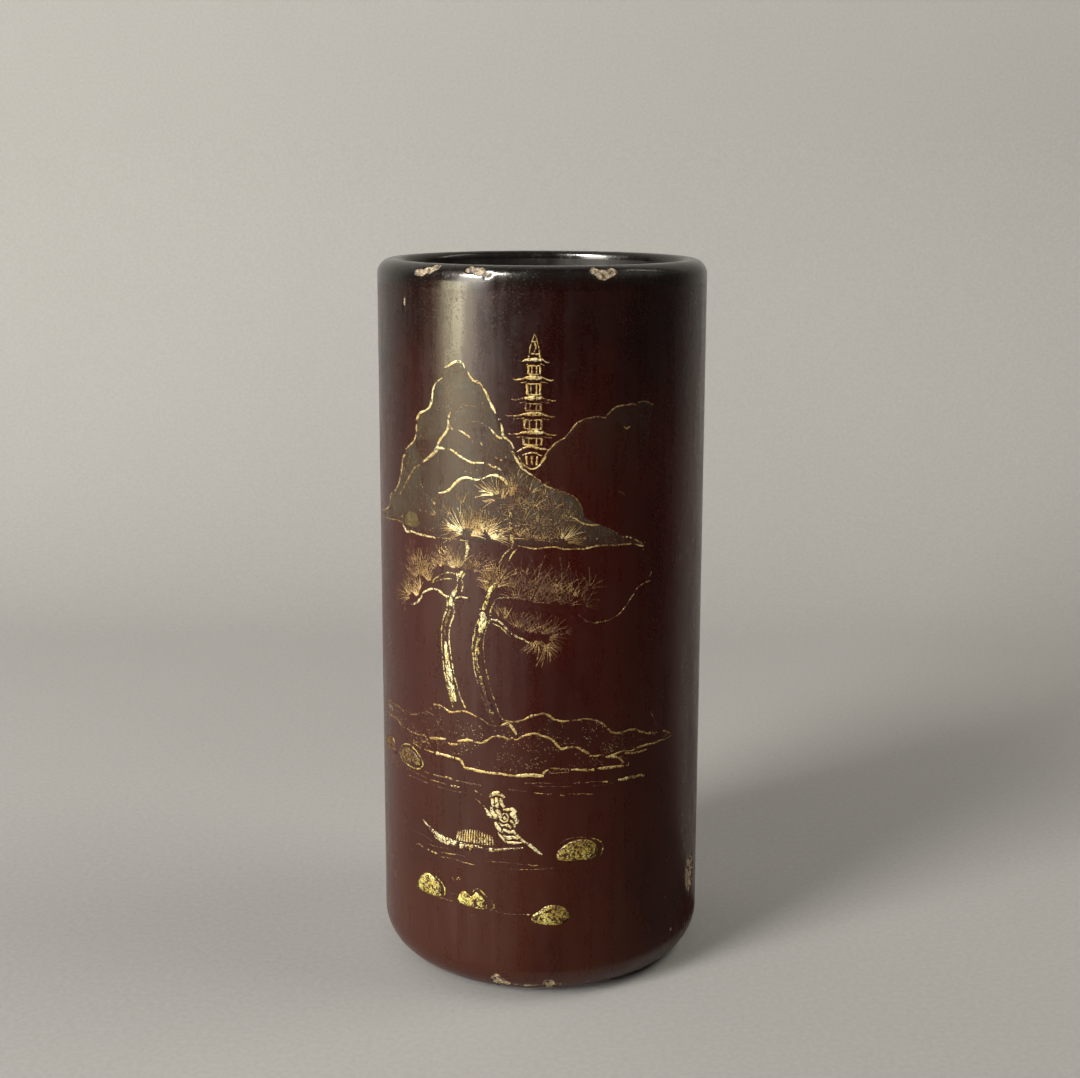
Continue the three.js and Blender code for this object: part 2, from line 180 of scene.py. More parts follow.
SHORE = [
    (0.3, [(-21.4, 56.0, .2), (-20.2, 56.1, .4), (-19.0, 55.8, .46), (-18.0, 55.4, .45),
           (-17.0, 55.3, .48), (-16.0, 55.6, .46), (-15.0, 55.9, .42), (-14.0, 55.9, .4),
           (-13.0, 55.6, .3), (-12.0, 55.2, .25)]),
    (0.6, [(-11.4, 55.0, .2), (-10.4, 54.6, .28), (-9.6, 54.0, .25), (-8.2, 53.9, .22)]),
    (0.65, [(-40.5, 50.8, .3), (-38.0, 52.0, .38), (-36.5, 52.7, .45), (-35.0, 52.9, .4)]),
    (0.6, [(-33.9, 52.5, .4), (-32.6, 52.7, .5), (-31.2, 52.5, .35), (-30.0, 52.4, .2)]),
    (0.65, [(-28.0, 52.4, .3), (-26.6, 52.8, .38), (-25.0, 53.3, .2)]),
    (0.6, [(-41.0, 49.4, .3), (-38.0, 49.6, .4), (-35.6, 49.9, .4), (-33.0, 50.0, .35),
           (-32.0, 49.4, .5), (-31.0, 48.9, .4)]),
    (0.5, [(-29.2, 49.3, .25), (-28.6, 49.2, .3)]),
    (0.4, [(-28.0, 49.0, .3), (-26.8, 49.0, .45), (-25.4, 49.1, .38), (-24.0, 49.4, .32),
           (-23.0, 48.6, .3)]),
    (0.05, [(-22.4, 49.2, .4), (-21.2, 49.4, .66), (-20.0, 49.6, .55), (-18.6, 49.9, .3)]),
    (0.2, [(-18.1, 49.2, .25), (-17.1, 49.1, .42), (-16.0, 49.3, .28)]),
    (0.05, [(-15.9, 50.0, .4), (-14.9, 50.2, .6), (-13.9, 50.5, .6), (-12.8, 50.5, .35)]),
    (0.35, [(-12.6, 50.4, .3), (-11.2, 50.3, .42), (-10.2, 50.8, .4), (-9.2, 51.6, .3),
            (-8.2, 52.0, .3), (-7.0, 51.9, .38), (-6.0, 51.6, .45), (-5.0, 51.9, .4)]),
    (0.0, [(-7.2, 54.1, .3), (-6.2, 54.6, .5), (-5.5, 54.2, .62), (-4.9, 53.3, .62),
           (-4.5, 52.5, .4)]),
    (0.2, [(-4.9, 51.6, .3), (-4.2, 51.6, .3), (-3.6, 52.1, .4), (-2.4, 52.6, .46),
           (-1.2, 52.8, .5), (0.0, 52.5, .46), (1.4, 52.0, .4), (2.2, 51.4, .42)]),
    (0.25, [(2.2, 51.5, .42), (2.9, 50.6, .5), (3.6, 49.9, .5), (4.6, 50.0, .42),
            (5.8, 50.1, .4), (7.0, 49.8, .4), (7.8, 49.2, .5), (8.8, 48.6, .5)]),
    (0.45, [(9.0, 48.2, .3), (10.2, 48.0, .4), (11.6, 48.0, .35)]),
    (0.4, [(-7.2, 55.2, .2), (-5.8, 54.9, .3), (-4.6, 54.9, .36), (-3.2, 55.4, .35),
           (-1.8, 56.1, .42), (-0.6, 56.4, .42), (0.6, 56.6, .46), (1.6, 56.1, .46),
           (2.6, 55.4, .4), (3.8, 55.1, .4), (5.0, 55.1, .3)]),
    (0.55, [(5.6, 55.1, .28), (6.8, 55.2, .3), (7.8, 55.3, .3), (9.2, 55.1, .3),
            (10.4, 54.7, .36), (11.4, 54.0, .4), (12.1, 53.3, .3)]),
    (0.4, [(12.4, 52.9, .5), (13.4, 52.1, .4), (14.8, 51.8, .46), (16.2, 51.9, .4),
           (17.6, 52.0, .4), (18.8, 51.7, .3)]),
    (0.3, [(18.8, 51.6, .3), (19.8, 51.0, .45), (20.8, 50.6, .52), (22.0, 50.4, .42)]),
    (0.5, [(22.4, 50.3, .35), (23.8, 50.1, .38)]),
    (0.4, [(25.4, 50.0, .3), (26.4, 49.6, .38), (27.6, 48.9, .3)]),
    (0.3, [(27.8, 48.4, .25), (26.0, 48.2, .3), (24.6, 48.3, .4), (23.0, 48.2, .4),
           (21.4, 48.3, .42), (20.0, 48.3, .45), (18.6, 48.2, .3)]),
    (0.35, [(18.2, 48.0, .25), (17.0, 47.9, .35), (15.6, 48.2, .32), (14.2, 47.9, .4),
            (13.0, 47.7, .35)]),
    (0.35, [(21.0, 47.4, .25), (19.4, 47.3, .4), (17.6, 47.4, .42), (16.0, 47.7, .3)]),
    (0.2, [(12.0, 47.6, .4), (13.4, 47.4, .55), (14.6, 47.1, .5), (15.3, 46.5, .4),
           (15.8, 45.8, .3)]),
    (0.4, [(16.3, 45.1, .25), (16.8, 45.3, .3), (16.9, 45.8, .25)]),
    (0.5, [(-28.0, 47.0, .2), (-26.6, 46.9, .3), (-25.0, 46.5, .25)]),
    (0.35, [(-24.0, 46.6, .28), (-22.6, 46.6, .35), (-21.4, 46.6, .35)]),
    (0.0, [(-20.9, 46.6, .6), (-19.5, 46.7, .66), (-18.2, 46.6, .55), (-16.8, 46.6, .4)]),
    (0.0, [(-16.4, 46.6, .35), (-15.5, 46.4, .6), (-14.8, 45.7, .5), (-14.5, 45.0, .4)]),
    (0.0, [(-14.5, 45.0, .4), (-13.0, 45.0, .6), (-11.5, 44.9, .6), (-10.2, 44.8, .5)]),
    (0.15, [(-10.2, 44.8, .5), (-8.0, 44.8, .5), (-6.0, 44.7, .46), (-4.6, 44.6, .4)]),
    (0.0, [(-4.6, 44.6, .5), (-3.2, 44.8, .66), (-1.6, 44.9, .78), (-0.4, 44.8, .7),
           (0.4, 44.7, .45)]),
    (0.15, [(0.4, 45.1, .5), (0.7, 45.6, .45), (1.3, 45.9, .2)]),
    (0.4, [(1.6, 46.2, .2), (3.4, 46.1, .28), (5.0, 45.9, .32)]),
    (0.25, [(5.4, 45.8, .35), (6.8, 45.7, .42), (8.4, 45.5, .5), (9.8, 45.4, .4)]),
    (0.2, [(10.4, 45.5, .35), (12.0, 45.5, .5), (13.4, 45.4, .62), (14.8, 45.4, .58),
           (15.8, 45.2, .35)]),
    (0.6, [(1.4, 45.2, .15), (3.0, 45.3, .22), (5.0, 45.3, .15)]),
    (0.6, [(-23.4, 54.2, .2), (-22.2, 54.0, .3), (-21.8, 53.6, .2)]),
    (0.5, [(-24.6, 47.9, .25), (-23.6, 48.2, .3), (-22.6, 48.0, .2)]),
    (0.5, [(-27.2, 47.6, .2), (-26.4, 47.3, .3), (-25.6, 47.6, .2)]),
    (0.75, [(22.0, 54.6, .15), (22.4, 53.7, .2), (22.7, 53.2, .15)]),
    (0.6, [(23.1, 52.4, .25), (23.4, 51.8, .3)]),
]

WATER = [
    (0.4, [(-22.0, 42.2, .2), (-20.0, 42.3, .4), (-18.4, 42.4, .45), (-17.0, 42.3, .42)]),
    (0.6, [(-16.4, 42.2, .25), (-14.0, 42.2, .28), (-11.2, 42.1, .2)]),
    (0.6, [(-22.6, 41.0, .18), (-20.2, 41.1, .28), (-18.6, 41.0, .25)]),
    (0.3, [(-17.8, 41.0, .25), (-17.0, 41.0, .42), (-15.6, 41.1, .35)]),
    (0.5, [(-12.4, 41.0, .22), (-11.7, 40.6, .35), (-11.0, 40.3, .2)]),
    (0.75, [(-38.0, 42.0, .15), (-35.0, 41.5, .22), (-31.0, 41.2, .22), (-28.0, 41.5, .18)]),
    (0.75, [(-28.6, 41.4, .15), (-25.0, 41.2, .22), (-23.4, 41.1, .15)]),
    (0.65, [(-36.6, 40.2, .25), (-35.0, 40.3, .3), (-33.0, 40.5, .25)]),
    (0.6, [(-29.0, 40.1, .2), (-27.0, 40.2, .34), (-25.0, 40.1, .3), (-23.2, 40.2, .3)]),
    (0.8, [(-21.6, 40.2, .15), (-18.0, 40.0, .18), (-14.6, 40.2, .12)]),
    (0.8, [(-3.2, 43.3, .16), (0.0, 43.4, .2), (2.6, 43.2, .16)]),
    (0.8, [(-1.6, 42.8, .14), (2.0, 42.7, .18), (5.6, 42.6, .14)]),
    (0.5, [(6.0, 43.1, .3), (7.0, 43.2, .45)]),
    (0.7, [(7.6, 43.0, .18), (9.6, 43.1, .24), (11.2, 42.9, .18)]),
    (0.4, [(11.4, 42.8, .3), (12.4, 42.7, .5)]),
    (0.75, [(9.6, 42.3, .14), (11.6, 42.2, .18), (13.6, 42.3, .14)]),
    (0.3, [(14.6, 42.9, .3), (15.6, 42.6, .6), (17.0, 42.8, .6), (18.4, 42.6, .55),
           (19.6, 42.7, .6), (20.5, 42.4, .4)]),
    (0.7, [(-6.0, 41.9, .15), (-4.0, 41.8, .22), (-2.4, 41.6, .2)]),
    (0.55, [(-1.2, 41.5, .22), (0.6, 41.3, .3), (2.2, 41.2, .22)]),
    (0.4, [(3.5, 41.1, .35), (4.1, 40.9, .4)]),
    (0.55, [(5.0, 41.1, .25), (6.8, 41.0, .3), (8.2, 40.9, .25), (9.6, 40.7, .2)]),
    # the water round the boat
    (0.8, [(-29.0, 29.4, .2), (-25.0, 29.3, .25), (-21.5, 28.9, .18)]),
    (0.8, [(-27.0, 28.2, .15), (-22.0, 28.0, .18), (-18.0, 28.3, .15)]),
    (0.55, [(-26.6, 26.9, .25), (-25.6, 27.2, .45), (-24.6, 26.9, .3)]),
    (0.35, [(-23.7, 26.9, .35), (-22.9, 26.7, .45)]),
    (0.3, [(-22.4, 26.8, .35), (-20.9, 26.6, .5)]),
    (0.65, [(-20.4, 27.2, .2), (-18.0, 27.4, .3), (-16.0, 27.6, .32), (-14.6, 27.5, .25)]),
    (0.65, [(-20.0, 26.3, .2), (-17.0, 26.6, .25), (-15.0, 26.4, .3), (-12.6, 26.3, .22)]),
    (0.8, [(-10.2, 27.5, .12), (-6.0, 27.6, .16), (-3.2, 27.4, .14)]),
    (0.6, [(-2.4, 27.5, .25), (-1.4, 27.3, .3), (-0.6, 27.4, .15)]),
    (0.85, [(-6.0, 26.4, .12), (-2.0, 26.5, .16), (2.6, 26.8, .12)]),
    # the water round the low rocks
    (0.75, [(-27.6, 17.9, .14), (-26.4, 18.0, .2), (-18.2, 18.0, .2), (-17.0, 18.1, .12)]),
    (0.85, [(-9.0, 17.8, .12), (-6.0, 17.4, .16), (-3.0, 17.6, .12)]),
    (0.5, [(-17.8, 19.5, .2), (-17.0, 19.5, .32), (-16.3, 19.6, .2)]),
    (0.6, [(-17.4, 22.7, .25), (-16.9, 22.3, .22)]),
    (0.45, [(-16.3, 22.7, .35), (-15.9, 23.1, .4), (-15.6, 22.7, .25)]),
    (0.7, [(-13.3, 16.2, .2), (-12.7, 16.0, .25)]),
    (0.2, [(-2.5, 17.6, .4), (-2.1, 17.5, .3)]),
]

TRUNKS = [
    # left pine: outlines, then its rubbed gold bark
    (0.3, [(-16.9, 56.3, .25), (-17.4, 58.0, .35), (-18.0, 59.8, .35), (-18.6, 62.0, .32),
           (-19.0, 64.5, .3), (-19.3, 67.0, .3), (-19.4, 69.5, .3), (-19.2, 71.5, .32),
           (-18.7, 73.2, .32), (-18.1, 74.6, .3), (-18.0, 76.0, .3), (-18.2, 77.1, .28)]),
    (0.15, [(-14.2, 56.5, .35), (-14.9, 57.8, .38), (-15.7, 59.6, .35), (-16.4, 61.8, .35),
            (-16.9, 64.0, .35), (-17.3, 66.2, .35), (-17.6, 68.5, .3), (-17.6, 70.2, .3),
            (-17.3, 72.0, .32), (-16.7, 73.4, .34), (-16.4, 74.6, .36), (-16.6, 76.0, .3),
            (-16.1, 76.9, .32), (-15.2, 77.3, .3), (-13.7, 77.3, .22)]),
    (0.0, [(-16.5, 57.4, 1.0), (-17.0, 59.4, 1.5), (-17.5, 62.0, 1.5), (-18.0, 64.5, 1.25),
           (-18.3, 67.0, 1.0), (-18.5, 68.6, .5)]),
    (0.75, [(-18.6, 69.4, .5), (-18.4, 71.6, .6), (-17.8, 73.4, .6), (-17.3, 74.6, .5)]),
    (0.1, [(-17.3, 75.4, .9), (-17.1, 76.6, 1.1), (-16.6, 77.7, .9), (-15.9, 78.6, .5)]),
    (0.2, [(-16.2, 78.2, .3), (-15.8, 79.4, .3), (-15.7, 80.6, .3), (-16.0, 81.7, .3)]),
    (0.2, [(-14.9, 78.2, .28), (-14.6, 79.6, .28), (-14.8, 80.8, .3), (-14.2, 81.8, .3)]),
    (0.1, [(-15.5, 80.6, .6), (-15.3, 81.5, 1.0), (-14.6, 82.0, .5)]),
    (0.05, [(-17.6, 77.1, .3), (-18.4, 77.1, .42), (-19.4, 77.6, .4), (-20.6, 77.9, .42),
            (-21.8, 77.8, .42), (-23.0, 77.3, .42), (-24.0, 76.6, .5), (-24.6, 75.5, .55),
            (-25.8, 74.5, .5), (-27.4, 73.9, .3)]),
    (0.3, [(-16.3, 81.4, .25), (-17.6, 81.5, .3), (-19.0, 81.0, .3), (-20.4, 80.2, .34),
           (-21.3, 79.4, .3)]),
    (0.4, [(-17.0, 80.4, .2), (-18.6, 80.2, .26), (-20.6, 79.4, .28), (-21.6, 79.0, .2)]),
    (0.15, [(-14.0, 87.5, .35), (-13.6, 86.6, .7), (-13.8, 85.4, .4), (-14.1, 84.2, .28)]),
    # right pine
    (0.8, [(-8.8, 54.6, .15), (-9.6, 56.2, .2), (-10.6, 58.5, .2), (-11.6, 61.0, .25)]),
    (0.35, [(-11.6, 61.0, .22), (-12.2, 63.5, .3), (-12.6, 66.0, .36), (-12.7, 68.5, .36),
            (-12.4, 70.5, .36), (-12.0, 72.4, .36), (-11.3, 73.8, .4), (-11.2, 75.2, .3),
            (-11.4, 76.2, .2)]),
    (0.5, [(-7.0, 55.2, .2), (-7.9, 57.0, .24), (-8.8, 59.5, .24), (-9.5, 62.0, .24),
           (-10.1, 64.5, .24), (-10.5, 67.0, .24), (-10.6, 69.5, .26), (-10.2, 71.3, .3),
           (-9.6, 72.8, .35), (-9.3, 74.0, .35), (-9.2, 75.4, .3), (-8.6, 76.8, .3),
           (-8.0, 77.6, .22)]),
    (0.0, [(-10.9, 75.0, .7), (-10.5, 74.0, 1.5), (-10.7, 72.9, 1.7), (-11.0, 71.8, 1.2),
           (-11.4, 70.6, .6)]),
    (0.45, [(-11.5, 70.4, .8), (-11.8, 68.0, 1.0), (-11.9, 65.6, .9), (-11.5, 63.6, .5)]),
    (0.85, [(-11.2, 63.0, .9), (-10.6, 60.6, 1.0), (-9.8, 58.2, 1.1), (-8.8, 56.0, 1.0)]),
    (0.25, [(-10.7, 75.4, .6), (-10.0, 76.8, .8), (-9.6, 78.2, .8), (-9.0, 79.4, .9),
            (-8.2, 80.4, .5)]),
    (0.2, [(-9.3, 73.8, .25), (-8.2, 73.7, .35), (-7.2, 73.2, .36), (-6.4, 72.4, .36),
           (-5.4, 71.6, .4), (-4.4, 70.9, .4), (-3.2, 70.4, .34), (-2.2, 69.8, .25)]),
    (0.3, [(-8.9, 73.1, .2), (-7.6, 72.6, .25), (-6.5, 71.7, .3), (-5.7, 71.0, .22)]),
    (0.55, [(-8.4, 77.5, .25), (-7.0, 77.9, .3), (-5.6, 78.0, .22), (-4.0, 78.2, .18)]),
    (0.35, [(-7.5, 84.3, .22), (-6.8, 85.6, .3), (-6.0, 86.5, .32), (-5.2, 87.2, .3),
            (-5.1, 88.4, .3)]),
    (0.4, [(-5.8, 84.8, .22), (-5.2, 86.0, .3), (-4.3, 86.9, .3)]),
    (0.45, [(-5.3, 88.0, .4), (-5.5, 90.0, .6), (-5.5, 91.6, .6), (-5.5, 93.0, .5),
            (-5.9, 94.4, .4)]),
]

# The faint bare twig at the right of the pines.
TWIG = [
    (0.75, [(6.6, 74.9, .14), (7.6, 74.0, .2), (8.2, 73.5, .3), (9.6, 73.1, .34)]),
    (0.6, [(9.6, 73.1, .32), (11.0, 73.2, .32), (12.4, 73.4, .3), (13.4, 73.7, .25)]),
    (0.65, [(13.8, 73.9, .2), (14.8, 74.5, .34), (15.8, 75.6, .3)]),
    (0.6, [(16.2, 76.0, .25), (17.0, 76.9, .4), (17.6, 77.7, .3)]),
    (0.65, [(17.8, 78.1, .25), (18.8, 78.9, .4), (19.8, 79.2, .3)]),
    (0.55, [(20.2, 79.4, .35), (21.2, 79.5, .35)]),
    (0.75, [(21.2, 80.4, .3), (21.6, 81.2, .25)]),
]

HULL = [
    (0.15, [(-24.6, 32.5, .15), (-23.6, 31.9, .45), (-22.6, 31.4, .6), (-21.8, 30.9, .9)]),
    (0.0, [(-21.8, 30.8, .8), (-20.8, 30.3, 1.3), (-19.6, 30.0, 1.4), (-18.2, 29.7, 1.4),
           (-17.0, 29.6, 1.0), (-16.4, 29.6, .5)]),
    (0.1, [(-15.7, 29.4, .6), (-14.8, 29.5, 1.1), (-13.8, 29.5, 1.2), (-12.9, 29.4, .9)]),
    (0.3, [(-12.5, 29.6, .5), (-11.6, 29.8, .7), (-10.8, 29.9, .4)]),
    (0.15, [(-18.6, 30.5, .25), (-16.4, 30.2, .34), (-14.0, 30.1, .34), (-11.6, 30.1, .34)]),
    (0.1, [(-10.4, 29.8, .5), (-9.2, 29.8, .6), (-7.8, 30.0, .5), (-6.2, 30.3, .4),
           (-4.6, 30.5, .36), (-3.2, 30.8, .2)]),
]
CARGO_REEDS = 15
CARGO_LEFT = (-16.2, 30.6)
CARGO_RIGHT = (-8.9, 30.7)
CARGO_TOP = 2.6

BOATMAN = [
    # hat and head
    (0.0, [(-9.6, 40.1, .25), (-9.2, 40.5, .5), (-8.6, 40.9, .7), (-8.0, 41.0, .8),
           (-7.3, 40.8, .7), (-6.7, 40.3, .3)]),
    (0.05, [(-9.0, 39.9, .5), (-8.9, 39.1, .6), (-8.8, 38.4, .5)]),
    (0.1, [(-8.2, 40.2, .6), (-8.1, 39.2, .8), (-8.0, 38.3, .7)]),
    (0.05, [(-7.4, 40.1, .5), (-7.2, 39.2, .6), (-6.8, 38.4, .5)]),
    # shoulders, arms and sleeves
    (0.0, [(-10.4, 37.9, .3), (-10.0, 37.3, .6), (-9.6, 36.6, .7), (-9.0, 36.1, .5)]),
    (0.0, [(-9.2, 38.2, .5), (-9.0, 37.4, .8), (-8.5, 36.6, .9), (-8.0, 36.4, .5)]),
    (0.1, [(-8.2, 37.8, .6), (-7.6, 37.0, .7), (-7.4, 36.2, .5)]),
    (0.05, [(-6.9, 37.9, .4), (-6.0, 38.0, .5), (-5.2, 38.1, .6), (-4.6, 37.5, .7)]),
    (0.0, [(-5.6, 37.4, .7), (-4.9, 36.9, .8), (-4.4, 36.2, .8), (-4.4, 35.4, .7)]),
    (0.1, [(-7.5, 36.3, .3), (-7.1, 37.0, .34), (-6.4, 37.1, .34), (-6.0, 36.5, .34),
           (-6.2, 35.8, .34), (-6.9, 35.6, .34), (-7.5, 36.1, .3)]),
    (0.15, [(-6.8, 36.6, .5), (-6.5, 36.1, .6)]),
    (0.05, [(-5.6, 36.0, .5), (-5.0, 35.3, .6), (-4.8, 34.7, .4)]),
    # robe
    (0.0, [(-8.4, 35.4, .4), (-8.1, 34.7, .7), (-7.6, 34.0, .7), (-7.0, 33.5, .4)]),
    (0.1, [(-7.8, 35.3, .3), (-7.0, 34.8, .4), (-6.2, 34.9, .5), (-5.4, 34.5, .5)]),
    (0.0, [(-7.0, 34.1, .4), (-6.2, 33.8, .6), (-5.4, 33.7, .6), (-4.8, 34.0, .4)]),
    (0.1, [(-8.0, 33.4, .3), (-7.3, 32.6, .45), (-6.6, 31.9, .5), (-5.8, 31.5, .5)]),
    (0.05, [(-6.9, 33.0, .4), (-6.0, 32.5, .6), (-5.0, 32.7, .6), (-4.2, 32.4, .4)]),
    (0.1, [(-5.8, 31.7, .4), (-5.0, 31.6, .5), (-4.2, 31.7, .4), (-3.4, 31.8, .3)]),
    # the oar and the rope behind the shoulder
    (0.05, [(-5.2, 33.9, .3), (-4.4, 33.2, .45), (-3.6, 32.4, .5), (-2.6, 31.7, .46),
            (-1.6, 31.0, .46)]),
    (0.05, [(-2.4, 31.6, .3), (-1.5, 30.9, .6), (-0.8, 30.2, .6), (0.2, 29.5, .2)]),
    (0.6, [(-12.3, 39.4, .15), (-11.2, 38.7, .24), (-10.5, 38.1, .2)]),
]

ROCK_LINES = [
    # the bright ring of the second rock and the loose outlines at the right of the others
    (0.1, [(-24.6, 43.0, .3), (-24.4, 43.8, .4), (-24.9, 44.6, .42), (-25.8, 45.3, .42),
           (-27.0, 45.9, .42), (-28.6, 46.2, .42), (-30.2, 45.9, .4), (-31.4, 45.1, .4),
           (-32.1, 44.2, .38), (-32.0, 43.1, .34), (-31.0, 42.4, .3), (-29.0, 42.1, .3),
           (-26.6, 42.1, .32), (-25.2, 42.5, .4), (-24.7, 43.0, .3)]),
    (0.3, [(-23.9, 42.2, .25), (-22.8, 42.2, .2)]),
    (0.25, [(9.4, 32.1, .2), (10.4, 31.8, .3), (11.3, 31.1, .3), (11.7, 30.2, .34),
            (11.6, 29.3, .34), (11.2, 28.6, .2)]),
    (0.5, [(3.6, 31.6, .15), (4.8, 32.3, .2), (6.4, 32.6, .2), (8.2, 32.5, .18)]),
    (0.15, [(-21.4, 21.9, .2), (-20.2, 21.4, .3), (-19.3, 20.5, .34), (-19.0, 19.4, .34),
            (-19.3, 18.4, .3)]),
    (0.5, [(-26.6, 18.0, .15), (-26.2, 19.2, .2), (-25.4, 20.8, .2), (-24.2, 22.0, .18)]),
    (0.1, [(-12.9, 20.6, .3), (-12.6, 21.4, .3), (-11.9, 21.6, .34), (-10.9, 21.1, .3),
           (-10.1, 20.4, .25)]),
    (0.2, [(-9.2, 19.9, .25), (-8.9, 19.2, .3), (-8.7, 18.4, .3), (-9.4, 17.8, .25)]),
]

# ---- The picture: rocks, filled grounds and pine needles --------------------------------------

# Rock outlines, counter-clockwise from the lower left: (tone, [(across, up)]).
ROCKS = {
    "rock_far_left": (0.7, [(-40.6, 42.9), (-34.4, 42.6), (-33.9, 43.4), (-34.3, 44.9),
                            (-35.6, 45.9), (-37.4, 45.8), (-39.2, 44.9), (-40.8, 43.9)]),
    "rock_left": (0.6, [(-31.2, 42.8), (-28.6, 42.5), (-25.6, 42.7), (-25.0, 43.6),
                        (-25.7, 44.7), (-27.4, 45.5), (-29.4, 45.6), (-31.0, 44.8),
                        (-31.6, 43.8)]),
    "rock_right": (0.3, [(3.4, 28.2), (6.4, 27.9), (9.8, 28.1), (10.6, 29.0), (10.6, 30.2),
                         (9.9, 31.4), (8.0, 32.2), (5.8, 32.0), (3.9, 31.0), (2.9, 29.8),
                         (2.9, 28.8)]),
    "rock_low_left": (0.1, [(-25.8, 18.1), (-22.8, 17.8), (-20.0, 18.2), (-19.8, 19.4),
                            (-20.4, 20.9), (-21.8, 21.8), (-23.4, 22.2), (-24.9, 21.3),
                            (-25.8, 20.2), (-26.1, 19.1)]),
    "rock_low_middle": (0.1, [(-16.2, 18.2), (-14.0, 17.8), (-11.0, 17.7), (-9.9, 18.2),
                              (-10.2, 19.4), (-11.0, 20.2), (-12.2, 21.0), (-13.2, 20.0),
                              (-14.6, 20.8), (-15.6, 20.2), (-16.1, 19.3)]),
    "rock_low_right": (0.25, [(-1.7, 16.2), (-0.6, 15.8), (0.8, 15.5), (3.2, 15.4), (4.6, 16.0),
                              (5.5, 17.0), (5.1, 18.2), (4.0, 19.2), (2.2, 19.6), (0.6, 19.2),
                              (-0.6, 18.2), (-1.7, 17.4)]),
}

# Grounds sprinkled with powder: (tone, outline).
LEFT_HILL = [(-41.0, 88.4), (-38.0, 89.8), (-36.0, 90.6), (-34.8, 93.2), (-32.0, 94.9),
             (-30.6, 97.4), (-29.8, 100.4), (-28.6, 102.7), (-26.0, 104.5), (-25.2, 107.0),
             (-24.8, 109.0), (-22.4, 110.6), (-21.0, 113.0), (-20.2, 115.4), (-18.2, 118.2),
             (-16.0, 119.4), (-14.2, 119.0), (-12.8, 116.8), (-11.0, 116.0), (-9.4, 113.2),
             (-8.2, 110.8), (-7.0, 108.0), (-5.4, 105.8), (-4.4, 102.8), (-1.6, 100.1),
             (0.6, 98.3), (4.8, 96.7), (6.8, 95.0), (7.6, 92.4), (10.4, 91.0), (14.0, 89.2),
             (19.4, 86.6), (12.0, 87.1), (4.0, 87.0), (-4.0, 87.5), (-14.0, 87.8),
             (-21.0, 87.6), (-28.6, 87.6), (-30.0, 88.7), (-34.0, 88.6)]
RIGHT_HILL = [(-1.2, 100.8), (1.0, 104.2), (2.8, 106.0), (5.0, 107.8), (7.2, 109.7),
              (11.0, 110.1), (13.8, 111.8), (18.0, 112.1), (21.4, 111.6), (21.0, 108.0),
              (19.6, 103.0), (17.0, 98.6), (12.0, 95.0), (7.9, 93.4), (7.0, 95.4), (4.8, 97.0),
              (0.8, 98.6)]
SUNLIT_PATCH = [(-29.6, 88.7), (-25.8, 88.6), (-24.6, 89.6), (-25.6, 91.2), (-27.4, 91.4),
                (-29.0, 90.4)]
SHORE_GROUND = [(-41.0, 49.6), (-36.0, 52.8), (-27.0, 52.8), (-21.0, 56.0), (-16.6, 55.4),
                (-12.0, 55.2), (-7.6, 53.9), (-4.6, 55.0), (0.6, 56.5), (3.6, 55.1),
                (10.4, 54.7), (13.4, 52.1), (18.8, 51.7), (22.0, 50.4), (27.6, 48.8),
                (20.0, 48.2), (15.8, 45.4), (8.0, 45.6), (0.6, 45.4), (-8.0, 44.9),
                (-14.4, 45.2), (-16.6, 46.6), (-24.0, 46.6), (-30.0, 49.0)]

